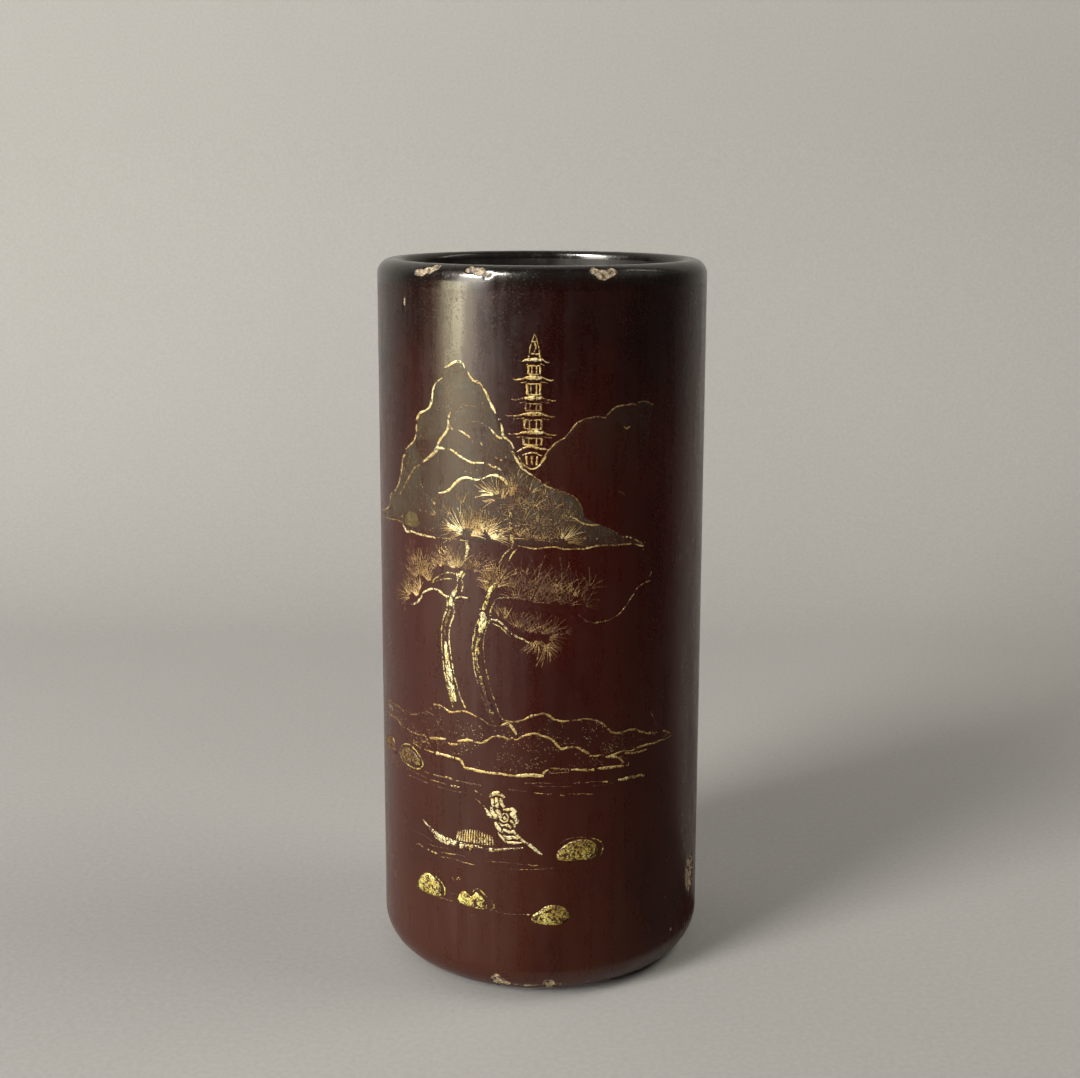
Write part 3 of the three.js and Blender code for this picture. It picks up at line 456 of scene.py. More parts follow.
# Needle fans: (across, up, heading in degrees, spread in degrees, reach, needles, tone).
FANS = [
    # the bright fan in front of the mountain
    (-14.2, 89.2, 150, 130, 4.6, 26, 0.0), (-13.8, 89.4, 75, 90, 4.4, 20, 0.15),
    (-13.4, 88.8, 20, 60, 4.0, 12, 0.1), (-15.6, 89.6, 175, 60, 3.4, 12, 0.1),
    (-10.6, 89.0, 120, 90, 4.2, 20, 0.3), (-10.2, 89.2, 45, 90, 4.8, 22, 0.25),
    (-9.8, 88.8, 5, 50, 4.4, 14, 0.15), (-11.6, 89.6, 90, 110, 4.4, 20, 0.35),
    (-12.2, 89.0, 60, 60, 4.6, 14, 0.25),
    # the pale fan above it
    (-8.2, 96.4, 165, 60, 3.8, 13, 0.05), (-7.6, 96.2, 120, 70, 3.6, 14, 0.15),
    (-7.0, 95.4, 80, 60, 3.4, 12, 0.3), (-8.0, 95.6, 195, 40, 2.6, 8, 0.3),
    (-5.2, 95.6, 95, 50, 5.0, 12, 0.35), (-5.0, 97.0, 75, 50, 4.4, 10, 0.5),
    # short strokes along the mountain's skirt
    (-20.6, 93.4, 110, 70, 1.8, 7, 0.45), (-18.6, 93.6, 95, 50, 1.8, 6, 0.5),
    (-14.6, 94.2, 100, 90, 2.2, 9, 0.45), (-20.2, 91.6, 160, 60, 2.0, 7, 0.6),
    (-17.2, 92.0, 120, 80, 2.2, 8, 0.45),
    # the brown crown behind the upper twig
    (-4.2, 94.6, 110, 160, 4.2, 26, 0.55), (-1.6, 94.2, 90, 170, 4.2, 28, 0.6),
    (1.4, 93.6, 70, 150, 4.0, 26, 0.6), (4.0, 92.0, 55, 130, 3.4, 20, 0.65),
    (-3.4, 91.4, 100, 190, 3.8, 26, 0.55), (-0.6, 91.0, 90, 190, 3.8, 28, 0.55),
    (2.2, 90.6, 80, 170, 3.6, 24, 0.6), (-4.4, 89.0, 110, 150, 3.0, 18, 0.5),
    (-1.8, 88.6, 90, 170, 3.2, 24, 0.5), (0.8, 88.4, 90, 160, 3.0, 20, 0.5),
    (-2.4, 96.8, 95, 130, 3.6, 18, 0.65), (0.4, 96.2, 80, 110, 2.8, 14, 0.7),
    # the pale little fan at its right
    (3.6, 88.4, 30, 55, 4.2, 12, 0.2), (3.4, 88.4, 80, 60, 3.2, 11, 0.25),
    (4.2, 88.0, 5, 35, 4.0, 8, 0.3), (3.2, 88.6, 125, 50, 2.4, 8, 0.4),
    # left crown
    (-25.2, 79.0, 105, 110, 5.6, 26, 0.4), (-23.4, 79.4, 85, 80, 5.4, 20, 0.4),
    (-26.8, 78.0, 130, 110, 4.6, 20, 0.6), (-27.4, 75.2, 150, 130, 4.2, 22, 0.3),
    (-25.4, 75.6, 110, 100, 3.2, 20, 0.1), (-28.6, 74.2, 185, 110, 4.4, 16, 0.7),
    (-22.0, 79.0, 110, 90, 3.0, 16, 0.2), (-26.2, 81.8, 105, 90, 4.2, 18, 0.6),
    (-31.4, 74.2, 170, 120, 3.8, 14, 0.8), (-24.4, 77.2, 140, 110, 2.8, 16, 0.1),
    # centre-left crown
    (-18.8, 82.2, 110, 110, 4.2, 24, 0.4), (-15.8, 82.2, 105, 130, 4.6, 28, 0.25),
    (-13.2, 82.0, 80, 120, 4.4, 24, 0.5), (-17.2, 83.6, 150, 90, 4.0, 16, 0.45),
    (-11.4, 82.6, 80, 110, 3.8, 20, 0.6), (-20.4, 81.6, 120, 90, 3.2, 14, 0.5),
    # centre crown
    (-9.0, 80.4, 120, 110, 4.0, 22, 0.4), (-7.6, 80.8, 90, 120, 4.4, 24, 0.5),
    (-9.6, 78.8, 110, 100, 3.0, 14, 0.3), (-8.4, 79.6, 60, 100, 3.2, 16, 0.4),
    # right crown, dark and reddish
    (-5.6, 79.2, 95, 90, 5.0, 20, 0.65), (-3.2, 79.0, 95, 90, 5.6, 22, 0.7),
    (-1.0, 78.6, 90, 90, 6.0, 22, 0.75), (1.2, 78.4, 88, 90, 6.0, 22, 0.75),
    (3.2, 78.2, 85, 90, 5.6, 20, 0.75), (5.2, 78.0, 80, 90, 5.2, 18, 0.8),
    (6.8, 77.6, 70, 100, 4.2, 14, 0.8), (-4.4, 77.6, 95, 110, 4.2, 20, 0.55),
    (-2.0, 77.2, 90, 120, 4.4, 22, 0.6), (0.4, 77.0, 90, 120, 4.4, 22, 0.65),
    (2.6, 76.8, 90, 120, 4.0, 20, 0.7), (4.8, 76.6, 80, 120, 3.6, 16, 0.7),
    (8.6, 79.6, 60, 90, 3.2, 10, 0.8), (7.6, 76.4, 40, 100, 3.0, 10, 0.85),
    # lower right fans
    (-6.4, 73.8, 95, 60, 2.8, 10, 0.2), (-7.6, 74.2, 110, 40, 2.2, 6, 0.35),
    (-4.4, 72.2, 85, 100, 3.8, 18, 0.45), (-2.6, 71.4, 85, 110, 4.2, 20, 0.5),
    (-0.4, 71.2, 80, 120, 4.4, 20, 0.6), (1.4, 71.0, 60, 120, 3.6, 16, 0.6),
    (-0.6, 70.6, 275, 110, 3.6, 20, 0.35), (0.8, 70.2, 290, 90, 4.4, 18, 0.35),
    (-1.8, 70.4, 265, 70, 2.6, 12, 0.5), (1.0, 70.8, 345, 80, 2.8, 12, 0.45),
    (4.0, 71.6, 10, 50, 1.8, 5, 0.5),
]

# The pagoda is drawn storey by storey, from the ground up: (roof line, left eave, right eave,
# tone), and the house under that roof is as wide as its level allows.
PAGODA_AXIS = (-1.75, 101.6)
PAGODA_TIP = (-1.3, 124.7)
PAGODA_ROOFS = [
    (107.6, -5.9, 2.6, 0.25), (110.8, -6.4, 2.2, 0.3), (113.6, -5.4, 2.4, 0.5),
    (117.1, -5.3, 2.0, 0.3), (120.2, -4.1, 1.3, 0.2),
]
PAGODA_HALF_WIDTH = 1.6

# ---- Chips in the lacquer ---------------------------------------------------------------------

# (across, up, half-width, half-height): the lacquer is gone down to the tan ground.
BODY_CHIPS = [
    (-8.6, 3.4, 1.5, 1.3), (-6.9, 2.6, 1.0, 0.5), (1.5, 2.9, 1.2, 1.1), (-2.6, 2.2, 3.2, 0.35),
    (3.6, 2.4, 0.5, 0.5), (37.6, 17.0, 2.4, 3.4), (-28.6, 129.3, 0.32, 0.9),
    (29.2, 8.0, 0.5, 0.5), (-80.0, 3.0, 2.4, 1.2), (74.0, 2.6, 1.8, 1.0), (96.0, 64.0, 0.5, 1.1),
]
RIM_CHIPS = [
    (-24.0, 134.4, 1.6, 0.6), (-22.2, 134.9, 1.3, 0.6), (-21.0, 135.4, 0.9, 0.45),
    (-13.2, 135.3, 1.1, 0.45), (-11.4, 135.0, 1.2, 0.65), (-9.9, 134.5, 0.6, 0.45),
    (9.4, 135.2, 0.9, 0.5), (11.0, 134.6, 1.7, 0.8), (12.9, 135.0, 1.0, 0.5),
    (68.0, 133.6, 1.3, 0.6),
]


# ---- Values a user may change -----------------------------------------------------------------

def length_property(name, description, default):
    return bpy.props.FloatProperty(
        name=name, description=description, default=default, min=0.0, subtype="DISTANCE",
        unit="LENGTH", precision=5)


def colour_property(name, description, default):
    return bpy.props.FloatVectorProperty(
        name=name, description=description, default=default, size=4, min=0.0, max=1.0,
        subtype="COLOR")


class PotSizes(bpy.types.PropertyGroup):
    columns: bpy.props.IntProperty(
        name="Columns", description="Faces round the turned pieces", default=480, min=24)
    arc_steps: bpy.props.IntProperty(
        name="Arc steps", description="Faces across each rounded edge", default=14, min=3)
    wall_step: length_property("Wall step", "Height of the faces on the wall", 1.4 * MM)
    chip_depth: length_property("Chip depth", "How deep the lacquer is lost", 0.3 * MM)
    stroke_lift: length_property("Stroke lift", "How far gold lines stand off", 0.012 * MM)
    stroke_step: length_property("Stroke step", "Distance between points of a line", 0.22 * MM)
    needle_width: length_property("Needle width", "Width of a pine needle", 0.1 * MM)
    needle_share: bpy.props.FloatProperty(
        name="Needle share", description="Share of each fan's needles", default=0.7, min=0.0)
    rock_rise: length_property("Rock rise", "Height of the raised rocks", 0.32 * MM)
    powder_lift: length_property("Powder lift", "Thickness of the sprinkled grounds", 0.008 * MM)


class PotColours(bpy.types.PropertyGroup):
    brown: colour_property("Brown lacquer", "The wall near the foot", (0.047, 0.0080, 0.0024, 1))
    red: colour_property("Red lacquer", "The middle of the wall", (0.039, 0.0030, 0.0012, 1))
    deep: colour_property("Deep lacquer", "The wall's dark colour", (0.012, 0.0016, 0.0011, 1))
    black: colour_property("Black lacquer", "The rim and the inside", (0.009, 0.0075, 0.007, 1))
    tan: colour_property("Ground", "The ground under the lacquer", (0.60, 0.49, 0.31, 1))
    gold: colour_property("Gold", "Fresh gold", (0.82, 0.72, 0.40, 1))
    amber: colour_property("Amber gold", "Gold that lost its shine", (0.50, 0.33, 0.09, 1))
    rubbed: colour_property("Rubbed gold", "Dull, brown gold", (0.14, 0.075, 0.028, 1))
    powder: colour_property("Powder", "Sprinkled powder", (0.120, 0.120, 0.086, 1))
    backdrop: colour_property("Backdrop", "Floor and sweep", (0.457, 0.445, 0.440, 1))


# ---- Node trees -------------------------------------------------------------------------------

class Tree:
    """Adds nodes to a tree and joins their sockets."""

    def __init__(self, tree):
        self.tree = tree

    def add(self, kind, inputs=None, **settings):
        """A new node: sockets are joined to its inputs, and other values set on them."""
        node = self.tree.nodes.new(kind)
        for name, value in settings.items():
            setattr(node, name, value)
        for key, value in (inputs or {}).items():
            if isinstance(value, bpy.types.NodeSocket):
                self.tree.links.new(value, node.inputs[key])
            else:
                node.inputs[key].default_value = value
        return node

    def first(self, kind, inputs=None, **settings):
        """The first output of a new node."""
        return self.add(kind, inputs, **settings).outputs[0]

    def math(self, operation, a, b=0.0, clamp=False):
        return self.first("ShaderNodeMath", {0: a, 1: b}, operation=operation, use_clamp=clamp)

    def plus(self, a, b, clamp=False):
        return self.math("ADD", a, b, clamp)

    def minus(self, a, b, clamp=False):
        return self.math("SUBTRACT", a, b, clamp)

    def times(self, a, b, clamp=False):
        return self.math("MULTIPLY", a, b, clamp)

    def vector(self, x=0.0, y=0.0, z=0.0):
        return self.first("ShaderNodeCombineXYZ", {0: x, 1: y, 2: z})

    def height(self, place):
        """The z of a place."""
        return self.add("ShaderNodeSeparateXYZ", {0: place}).outputs[2]

    def mix(self, factor, a, b):
        """Mixes two colours."""
        node = self.add("ShaderNodeMix", {0: factor, 6: a, 7: b}, data_type="RGBA")
        return node.outputs[2]

    def ramp(self, value, low, high, to_low=0.0, to_high=1.0):
        """Maps low..high to to_low..to_high, without passing either end."""
        return self.first("ShaderNodeMapRange", {
            "Value": value, "From Min": low, "From Max": high, "To Min": to_low,
            "To Max": to_high})

    def noise(self, vector, scale, detail=3.0, roughness=0.55):
        return self.first("ShaderNodeTexNoise", {
            "Vector": vector, "Scale": scale, "Detail": detail, "Roughness": roughness})

    def upright(self, vector, squeeze):
        """The vector with its height scaled, for patterns that run up the wall."""
        return self.first("ShaderNodeMapping", {"Vector": vector, "Scale": (1.0, 1.0, squeeze)})

    def chance(self, low, high, seed):
        """A random number for each element, by the float sockets of the node."""
        return self.add("FunctionNodeRandomValue", {2: low, 3: high, 8: seed},
                        data_type="FLOAT").outputs[1]

    def group(self, tree, kind, **inputs):
        """The outputs of a group node."""
        named_inputs = {key.replace("_", " ").capitalize(): inputs[key] for key in inputs}
        return self.add(kind, named_inputs, node_tree=tree).outputs

    def output(self, **values):
        node = self.add("NodeGroupOutput")
        for name, value in values.items():
            self.tree.links.new(value, node.inputs[name.replace("_", " ").capitalize()])


def new_group(name, kind, inputs, outputs):
    """The Tree and given sockets of a new node group. A socket is (name, type, default)."""
    group = bpy.data.node_groups.new(name, kind)
    for direction, sockets in (("INPUT", inputs), ("OUTPUT", outputs)):
        for label, socket_type, default in sockets:
            socket = group.interface.new_socket(label, in_out=direction, socket_type=socket_type)
            if default is not None:
                socket.default_value = default
    tree = Tree(group)
    return tree, tree.add("NodeGroupInput").outputs


FLOAT = "NodeSocketFloat"
COLOUR = "NodeSocketColor"
VECTOR = "NodeSocketVector"
MATERIAL = "NodeSocketMaterial"
INTEGER = "NodeSocketInt"
SHAPE = ("Geometry", "NodeSocketGeometry", None)
WALL = (("Wall radius", FLOAT, WALL_RADIUS), ("Wall slope", FLOAT, WALL_SLOPE),
        ("Arc radius", FLOAT, ARC_RADIUS))


# ---- Geometry node trees ----------------------------------------------------------------------

def geometry_group(name, *inputs):
    """The Tree and the given sockets of a group that changes a geometry."""
    return new_group(name, "GeometryNodeTree", [SHAPE, *inputs], [SHAPE])


def picture_group(name, *inputs):
    """A geometry group for what is drawn flat: it also takes the wall and a material."""
    return geometry_group(name, *WALL, ("Material", MATERIAL, None), *inputs)


def wrap_tree():
    """Bends a flat picture, x across and y up, round the pot's leaning wall. z stays outward."""
    tree, given = geometry_group("Wrap on wall", *WALL)
    place = tree.add("ShaderNodeSeparateXYZ", {
        0: tree.first("GeometryNodeInputPosition")}).outputs
    lean = tree.times(place[1], given["Wall slope"])
    radius = tree.plus(tree.plus(given["Wall radius"], lean), place[2])
    angle = tree.math("DIVIDE", place[0], given["Arc radius"])
    across = tree.times(radius, tree.math("SINE", angle))
    forward = tree.times(radius, tree.math("COSINE", angle))
    bent = tree.vector(across, tree.times(forward, -1.0), place[1])
    moved = tree.first("GeometryNodeSetPosition", {
        "Geometry": given["Geometry"], "Position": bent})
    tree.output(geometry=moved)


def attribute(tree, name):
    """A number kept at each point, for geometry trees."""
    return tree.first("GeometryNodeInputNamedAttribute", {"Name": name}, data_type="FLOAT")


def finish_tree(tree, given, geometry, smooth=True):
    """Shades, realises and gives the material, as the last steps of each piece's tree."""
    shaded = tree.first("GeometryNodeSetShadeSmooth", {
        "Geometry": geometry, "Shade Smooth": smooth})
    real = tree.first("GeometryNodeRealizeInstances", {"Geometry": shaded})
    painted = tree.first("GeometryNodeSetMaterial", {
        "Geometry": real, "Material": given["Material"]})
    tree.output(geometry=painted)


def finish_picture(tree, given, geometry, smooth=True):
    """Wraps a flat picture on the wall and finishes its tree."""
    wrapped = tree.group(
        bpy.data.node_groups["Wrap on wall"], "GeometryNodeGroup", geometry=geometry,
        wall_radius=given["Wall radius"], wall_slope=given["Wall slope"],
        arc_radius=given["Arc radius"])[0]
    finish_tree(tree, given, wrapped, smooth)


def lens_section(tree, sides, flatness):
    """A closed, flattened ring of radius 1: the section of a painted line."""
    ring = tree.add("GeometryNodeCurvePrimitiveCircle", {"Resolution": sides, "Radius": 1.0})
    return tree.first("GeometryNodeTransform", {
        "Geometry": ring.outputs[0], "Scale": (1.0, flatness, 1.0)})


def swept(tree, curve, section, width):
    """A mesh of the section along a flat curve, half the width to each side."""
    upright = tree.first("GeometryNodeSetCurveNormal", {"Curve": curve}, mode="Z_UP")
    return tree.first("GeometryNodeCurveToMesh", {
        "Curve": upright, "Profile Curve": section, "Fill Caps": True,
        "Scale": tree.times(width, 0.5)})


def stroke_tree():
    """Edges with a width at each point become smooth, uneven painted lines."""
    tree, given = picture_group(
        "Painted strokes", ("Step", FLOAT, 0.2 * MM), ("Lift", FLOAT, 0.01 * MM),
        ("Unevenness", FLOAT, 1.0), ("Seed", FLOAT, 0.0))
    curve = tree.first("GeometryNodeMeshToCurve", {"Mesh": given["Geometry"]})
    curve = tree.first("GeometryNodeCurveSplineType", {"Curve": curve},
                       spline_type="CATMULL_ROM")
    curve = tree.first("GeometryNodeResampleCurve", {
        "Curve": curve, "Length": given["Step"]}, mode="LENGTH")
    place = tree.first("GeometryNodeInputPosition")
    shifted = tree.first("ShaderNodeVectorMath", {0: place, 1: given["Seed"]}, operation="ADD")
    ragged = tree.minus(tree.noise(shifted, 1900.0, 2.0), 0.5)
    wander = tree.times(tree.minus(tree.noise(shifted, 900.0, 2.0), 0.5), 0.25 * MM)
    curve = tree.first("GeometryNodeSetPosition", {
        "Geometry": curve, "Offset": tree.vector(wander, wander, given["Lift"])})
    swell = tree.plus(1.0, tree.times(ragged, tree.times(given["Unevenness"], 2.0)))
    width = tree.times(attribute(tree, "width"), swell)
    mesh = swept(tree, curve, lens_section(tree, 8, 0.16), width)
    finish_picture(tree, given, mesh)


def fan_tree():
    """Each point becomes a fan of fine curved needles."""
    tree, given = picture_group(
        "Needle fans", ("Needle width", FLOAT, 0.15 * MM), ("Lift", FLOAT, 0.01 * MM),
        ("Seed", INTEGER, 7))
    points = tree.first("GeometryNodeMeshToPoints", {"Mesh": given["Geometry"]})
    needles = attribute(tree, "needles")
    doubled = tree.add("GeometryNodeDuplicateElements", {
        "Geometry": points, "Amount": needles}, domain="POINT").outputs
    jitter = tree.chance(0.0, 1.0, given["Seed"])
    share = tree.math("DIVIDE", tree.plus(doubled[1], jitter), needles)
    turn = tree.times(tree.minus(share, 0.5), attribute(tree, "spread"))
    heading = tree.plus(attribute(tree, "heading"), turn)
    spin = tree.vector(z=heading)
    shorter = tree.chance(0.55, 1.0, tree.plus(given["Seed"], 1.0))
    reach = tree.times(attribute(tree, "reach"), shorter)
    # a needle bows outward from the middle of its fan
    bow = tree.times(reach, tree.math("SIGN", turn))
    size = tree.vector(reach, bow, reach)
    needle = tree.first("GeometryNodeCurveQuadraticBezier", {
        "Resolution": 6, "Start": (0.2, 0.0, 0.0), "Middle": (0.65, -0.10, 0.0),
        "End": (1.15, 0.02, 0.0)})
    placed = tree.first("GeometryNodeInstanceOnPoints", {
        "Points": doubled[0], "Instance": needle, "Scale": size,
        "Rotation": tree.first("FunctionNodeEulerToRotation", {0: spin})})
    curves = tree.first("GeometryNodeRealizeInstances", {"Geometry": placed})
    curves = tree.first("GeometryNodeSetPosition", {
        "Geometry": curves, "Offset": tree.vector(z=given["Lift"])})
    along = tree.first("GeometryNodeSplineParameter")
    taper = tree.ramp(along, 0.0, 1.0, 1.0, 0.45)
    mesh = swept(tree, curves, lens_section(tree, 4, 0.4),
                 tree.times(given["Needle width"], taper))
    finish_picture(tree, given, mesh, smooth=False)


def filled(tree, outline):
    """The flat sheet inside a closed outline."""
    curve = tree.first("GeometryNodeMeshToCurve", {"Mesh": outline})
    return tree.first("GeometryNodeFillCurve", {"Curve": curve}, mode="TRIANGLES")


def ground_tree():
    """A closed outline becomes a thin filled sheet with an even thickness."""
    tree, given = picture_group("Filled ground", ("Thickness", FLOAT, 0.01 * MM))
    fine = tree.first("GeometryNodeSubdivideMesh", {
        "Mesh": filled(tree, given["Geometry"]), "Level": 4})
    raised = tree.first("GeometryNodeExtrudeMesh", {
        "Mesh": fine, "Offset": (0.0, 0.0, 1.0), "Offset Scale": given["Thickness"],
        "Individual": False}, mode="FACES")
    back = tree.first("GeometryNodeFlipFaces", {"Mesh": fine})
    joined = tree.add("GeometryNodeJoinGeometry").inputs[0]
    tree.tree.links.new(raised, joined)
    tree.tree.links.new(back, joined)
    closed = tree.first("GeometryNodeMergeByDistance", {
        "Geometry": joined.node.outputs[0], "Distance": 0.001 * MM})
    finish_picture(tree, given, closed)


def speck_tree():
    """Scatters small flat grains over a closed outline, thick in some patches."""
    tree, given = picture_group(
        "Scattered grains", ("Density", FLOAT, 1.0e6), ("Grain", FLOAT, 0.12 * MM),
        ("Patchiness", FLOAT, 0.5), ("Seed", INTEGER, 3))
    cloud = tree.noise(tree.first("GeometryNodeInputPosition"), 260.0, 2.0)
    points = tree.first("GeometryNodeDistributePointsOnFaces", {
        "Mesh": filled(tree, given["Geometry"]), "Density": given["Density"],
        "Seed": given["Seed"]})
    kept = tree.first("FunctionNodeCompare", {0: cloud, 1: given["Patchiness"]},
                      operation="LESS_THAN")
    points = tree.first("GeometryNodeDeleteGeometry", {
        "Geometry": points, "Selection": kept}, domain="POINT")
    grain = tree.first("GeometryNodeMeshIcoSphere", {"Radius": 1.0, "Subdivisions": 1})
    size = tree.times(given["Grain"], tree.chance(0.4, 1.0, given["Seed"]))
    shape = tree.vector(size, tree.times(size, 0.8), tree.times(size, 0.3))
    placed = tree.first("GeometryNodeInstanceOnPoints", {
        "Points": points, "Instance": grain, "Scale": shape})
    real = tree.first("GeometryNodeRealizeInstances", {"Geometry": placed})
    finish_picture(tree, given, real, smooth=False)


def turned_tree():
    """Turns a closed profile, x outward and y up, about the pot's axis."""
    tree, given = geometry_group(
        "Turned piece", ("Columns", INTEGER, 480), ("Path radius", FLOAT, 0.02),
        ("Material", MATERIAL, None))
    profile = tree.first("GeometryNodeMeshToCurve", {"Mesh": given["Geometry"]})
    inward = tree.vector(tree.times(given["Path radius"], -1.0))
    # the sweep hangs a profile's y downward from its path
    profile = tree.first("GeometryNodeTransform", {
        "Geometry": profile, "Translation": inward, "Scale": (1.0, -1.0, 1.0)})
    path = tree.first("GeometryNodeCurvePrimitiveCircle", {
        "Resolution": given["Columns"], "Radius": given["Path radius"]})
    path = tree.first("GeometryNodeSetCurveNormal", {"Curve": path}, mode="Z_UP")
    mesh = tree.first("GeometryNodeCurveToMesh", {
        "Curve": path, "Profile Curve": profile, "Scale": 1.0})
    closed = tree.first("GeometryNodeMergeByDistance", {
        "Geometry": mesh, "Distance": 0.0005 * MM})
    finish_tree(tree, given, closed)


# ---- Meshes -----------------------------------------------------------------------------------

def link(mesh, name):
    piece = bpy.data.objects.new(name, mesh)
    bpy.context.scene.collection.objects.link(piece)
    return piece


def edge_mesh(name, chains, closed=False):
    """Chains of points joined by edges. A chain is (values, points), in metres."""
    mesh = bpy.data.meshes.new(name)
    places, edges = [], []
    for _, points in chains:
        first = len(places)
        places += [Vector(point).to_3d() for point in points]
        edges += [(i, i + 1) for i in range(first, len(places) - 1)]
        if closed:
            edges.append((len(places) - 1, first))
    mesh.from_pydata(places, edges, [])
    for label in chains[0][0]:
        values = [value for columns, _ in chains for value in columns[label]]
        mesh.attributes.new(label, "FLOAT", "POINT").data.foreach_set("value", values)
    return mesh


def grown(source, name, tree, **inputs):
    """The plain mesh piece that a geometry node tree makes from a source mesh."""
    piece = link(source, name)
    modifier = piece.modifiers.new("Shape", "NODES")
    modifier.node_group = tree
    for socket in tree.interface.items_tree:
        key = socket.name.lower().replace(" ", "_")
        if socket.in_out == "INPUT" and key in inputs:
            modifier[socket.identifier] = inputs[key]
    graph = bpy.context.evaluated_depsgraph_get()
    mesh = bpy.data.meshes.new_from_object(piece.evaluated_get(graph))
    piece.modifiers.remove(modifier)
    piece.data = mesh
    bpy.data.meshes.remove(source)
    mesh.name = name
    return piece


def face_outward(mesh):
    work = bmesh.new()
    work.from_mesh(mesh)
    bmesh.ops.remove_doubles(work, verts=work.verts, dist=0.0001 * MM)
    bmesh.ops.recalc_face_normals(work, faces=work.faces)
    work.to_mesh(mesh)
    work.free()


def settle(piece, slot, *nodes):
    """Attaches a finished piece to what it rides on, and hides the solids it stands for. The slot,
    its finish, is not used.
    """
    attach(piece, BODY)
    if nodes:
        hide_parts(*nodes)


def arc(centre, radius, start, end, steps):
    """Points of an arc from start to end, in degrees."""
    angles = [math.radians(start + (end - start) * i / steps) for i in range(steps + 1)]
    return [(centre[0] + radius * math.cos(a), centre[1] + radius * math.sin(a))
            for a in angles]


def rise(low, high, step, radius):
    """Points up a straight stretch, between its ends and not on them."""
    count = max(1, round((high - low) / step))
    heights = [low + (high - low) * i / count for i in range(1, count)]
    return [(radius(height), height) for height in heights]


def foot_arc(depth, steps):
    centre = (wall_radius(FOOT_ROUND) - FOOT_ROUND, FOOT_ROUND)
    return arc(centre, FOOT_ROUND - depth, -90, 0, steps)


def lip_arc(depth, steps):
    top = HEIGHT - LIP_ROUND
    return arc((wall_radius(top) - LIP_ROUND, top), LIP_ROUND - depth, 0, 90, steps)


def edge_arc(depth, steps):
    centre = (BORE_RADIUS + EDGE_ROUND, HEIGHT - EDGE_ROUND)
    return arc(centre, EDGE_ROUND - depth, 90, 180, steps)


SHARP_ANGLE = 40


def turned(name, profile, material, sizes):
    """A piece turned from a closed profile of (radius, height) points."""
    source = edge_mesh(name, [({}, profile)], closed=True)
    path = min(radius for radius, _ in profile) + RECESS_RADIUS / 2
    piece = grown(source, name, bpy.data.node_groups["Turned piece"], columns=sizes.columns,
                  path_radius=path, material=material)
    face_outward(piece.data)
    piece.data.set_sharp_from_angle(angle=math.radians(SHARP_ANGLE))
    return piece


def chip_field(across, up, chips):
    """1 in the middle of a chip, 0.5 at its border and 0 well outside."""
    field = 0.0
    for middle, height, wide, tall in chips:
        reach = math.hypot((across - middle) / wide, (up - height) / tall)
        field = max(field, 1.0 - reach / 2)
    return max(0.0, field)


CHIP_BORDER = 0.5
CHIP_STEEPNESS = 8


def chip(piece, chips, depth):
    """Sinks the chips into a turned coat, and leaves their shape in the attribute "chip"."""
    mesh = piece.data
    fields = []
    for vertex in mesh.vertices:
        place = vertex.co
        angle = math.atan2(place.x, -place.y)
        field = chip_field(angle * ARC_RADIUS / MM, place.z / MM, chips)
        ragged = noise.noise(place * (0.9 / MM)) * 0.22
        fields.append(field + ragged if field > 0 else 0.0)
        inside = field + ragged - CHIP_BORDER
        if inside > 0:
            sunk = min(1.0, inside * CHIP_STEEPNESS) * depth
            floor = 1 + 0.35 * noise.noise(place * (2.2 / MM))
            vertex.co = place - vertex.normal * sunk * floor
    mesh.attributes.new("chip", "FLOAT", "POINT").data.foreach_set("value", fields)


def strokes(name, drawn, material, sizes, seed=0.0, weight=1.0):
    """Painted lines as one piece. Weight thins or thickens them all."""
    chains = []
    for tone, points in drawn:
        values = {"width": [width * weight * MM for _, _, width in points],
                  "tone": [tone] * len(points)}
        chains.append((values, [(across * MM, up * MM) for across, up, _ in points]))
    return grown(edge_mesh(name, chains), name, bpy.data.node_groups["Painted strokes"],
                 step=sizes.stroke_step, lift=sizes.stroke_lift, seed=seed, material=material)


def outline_mesh(name, outline):
    return edge_mesh(name, [({}, [(across * MM, up * MM) for across, up in outline])],
                     closed=True)


def on_wall(across, up, lift):
    """The place in space of a place in the picture, in metres."""
    angle = across / ARC_RADIUS
    radius = wall_radius(up) + lift
    return Vector((radius * math.sin(angle), -radius * math.cos(angle), up))


def smooth_ring(points, steps):
    """A closed Catmull-Rom curve through the points."""
    ring = []
    count = len(points)
    for i in range(count):
        before, start, end, after = (Vector(points[(i + k) % count]) for k in (-1, 0, 1, 2))
        for step in range(steps):
            t = step / steps
            ring.append(0.5 * (2 * start + (end - before) * t
                               + (2 * before - 5 * start + 4 * end - after) * t * t
                               + (3 * start - before - 3 * end + after) * t * t * t))
    return ring


ROCK_RINGS = 9
ROCK_BACK = -0.05 * MM


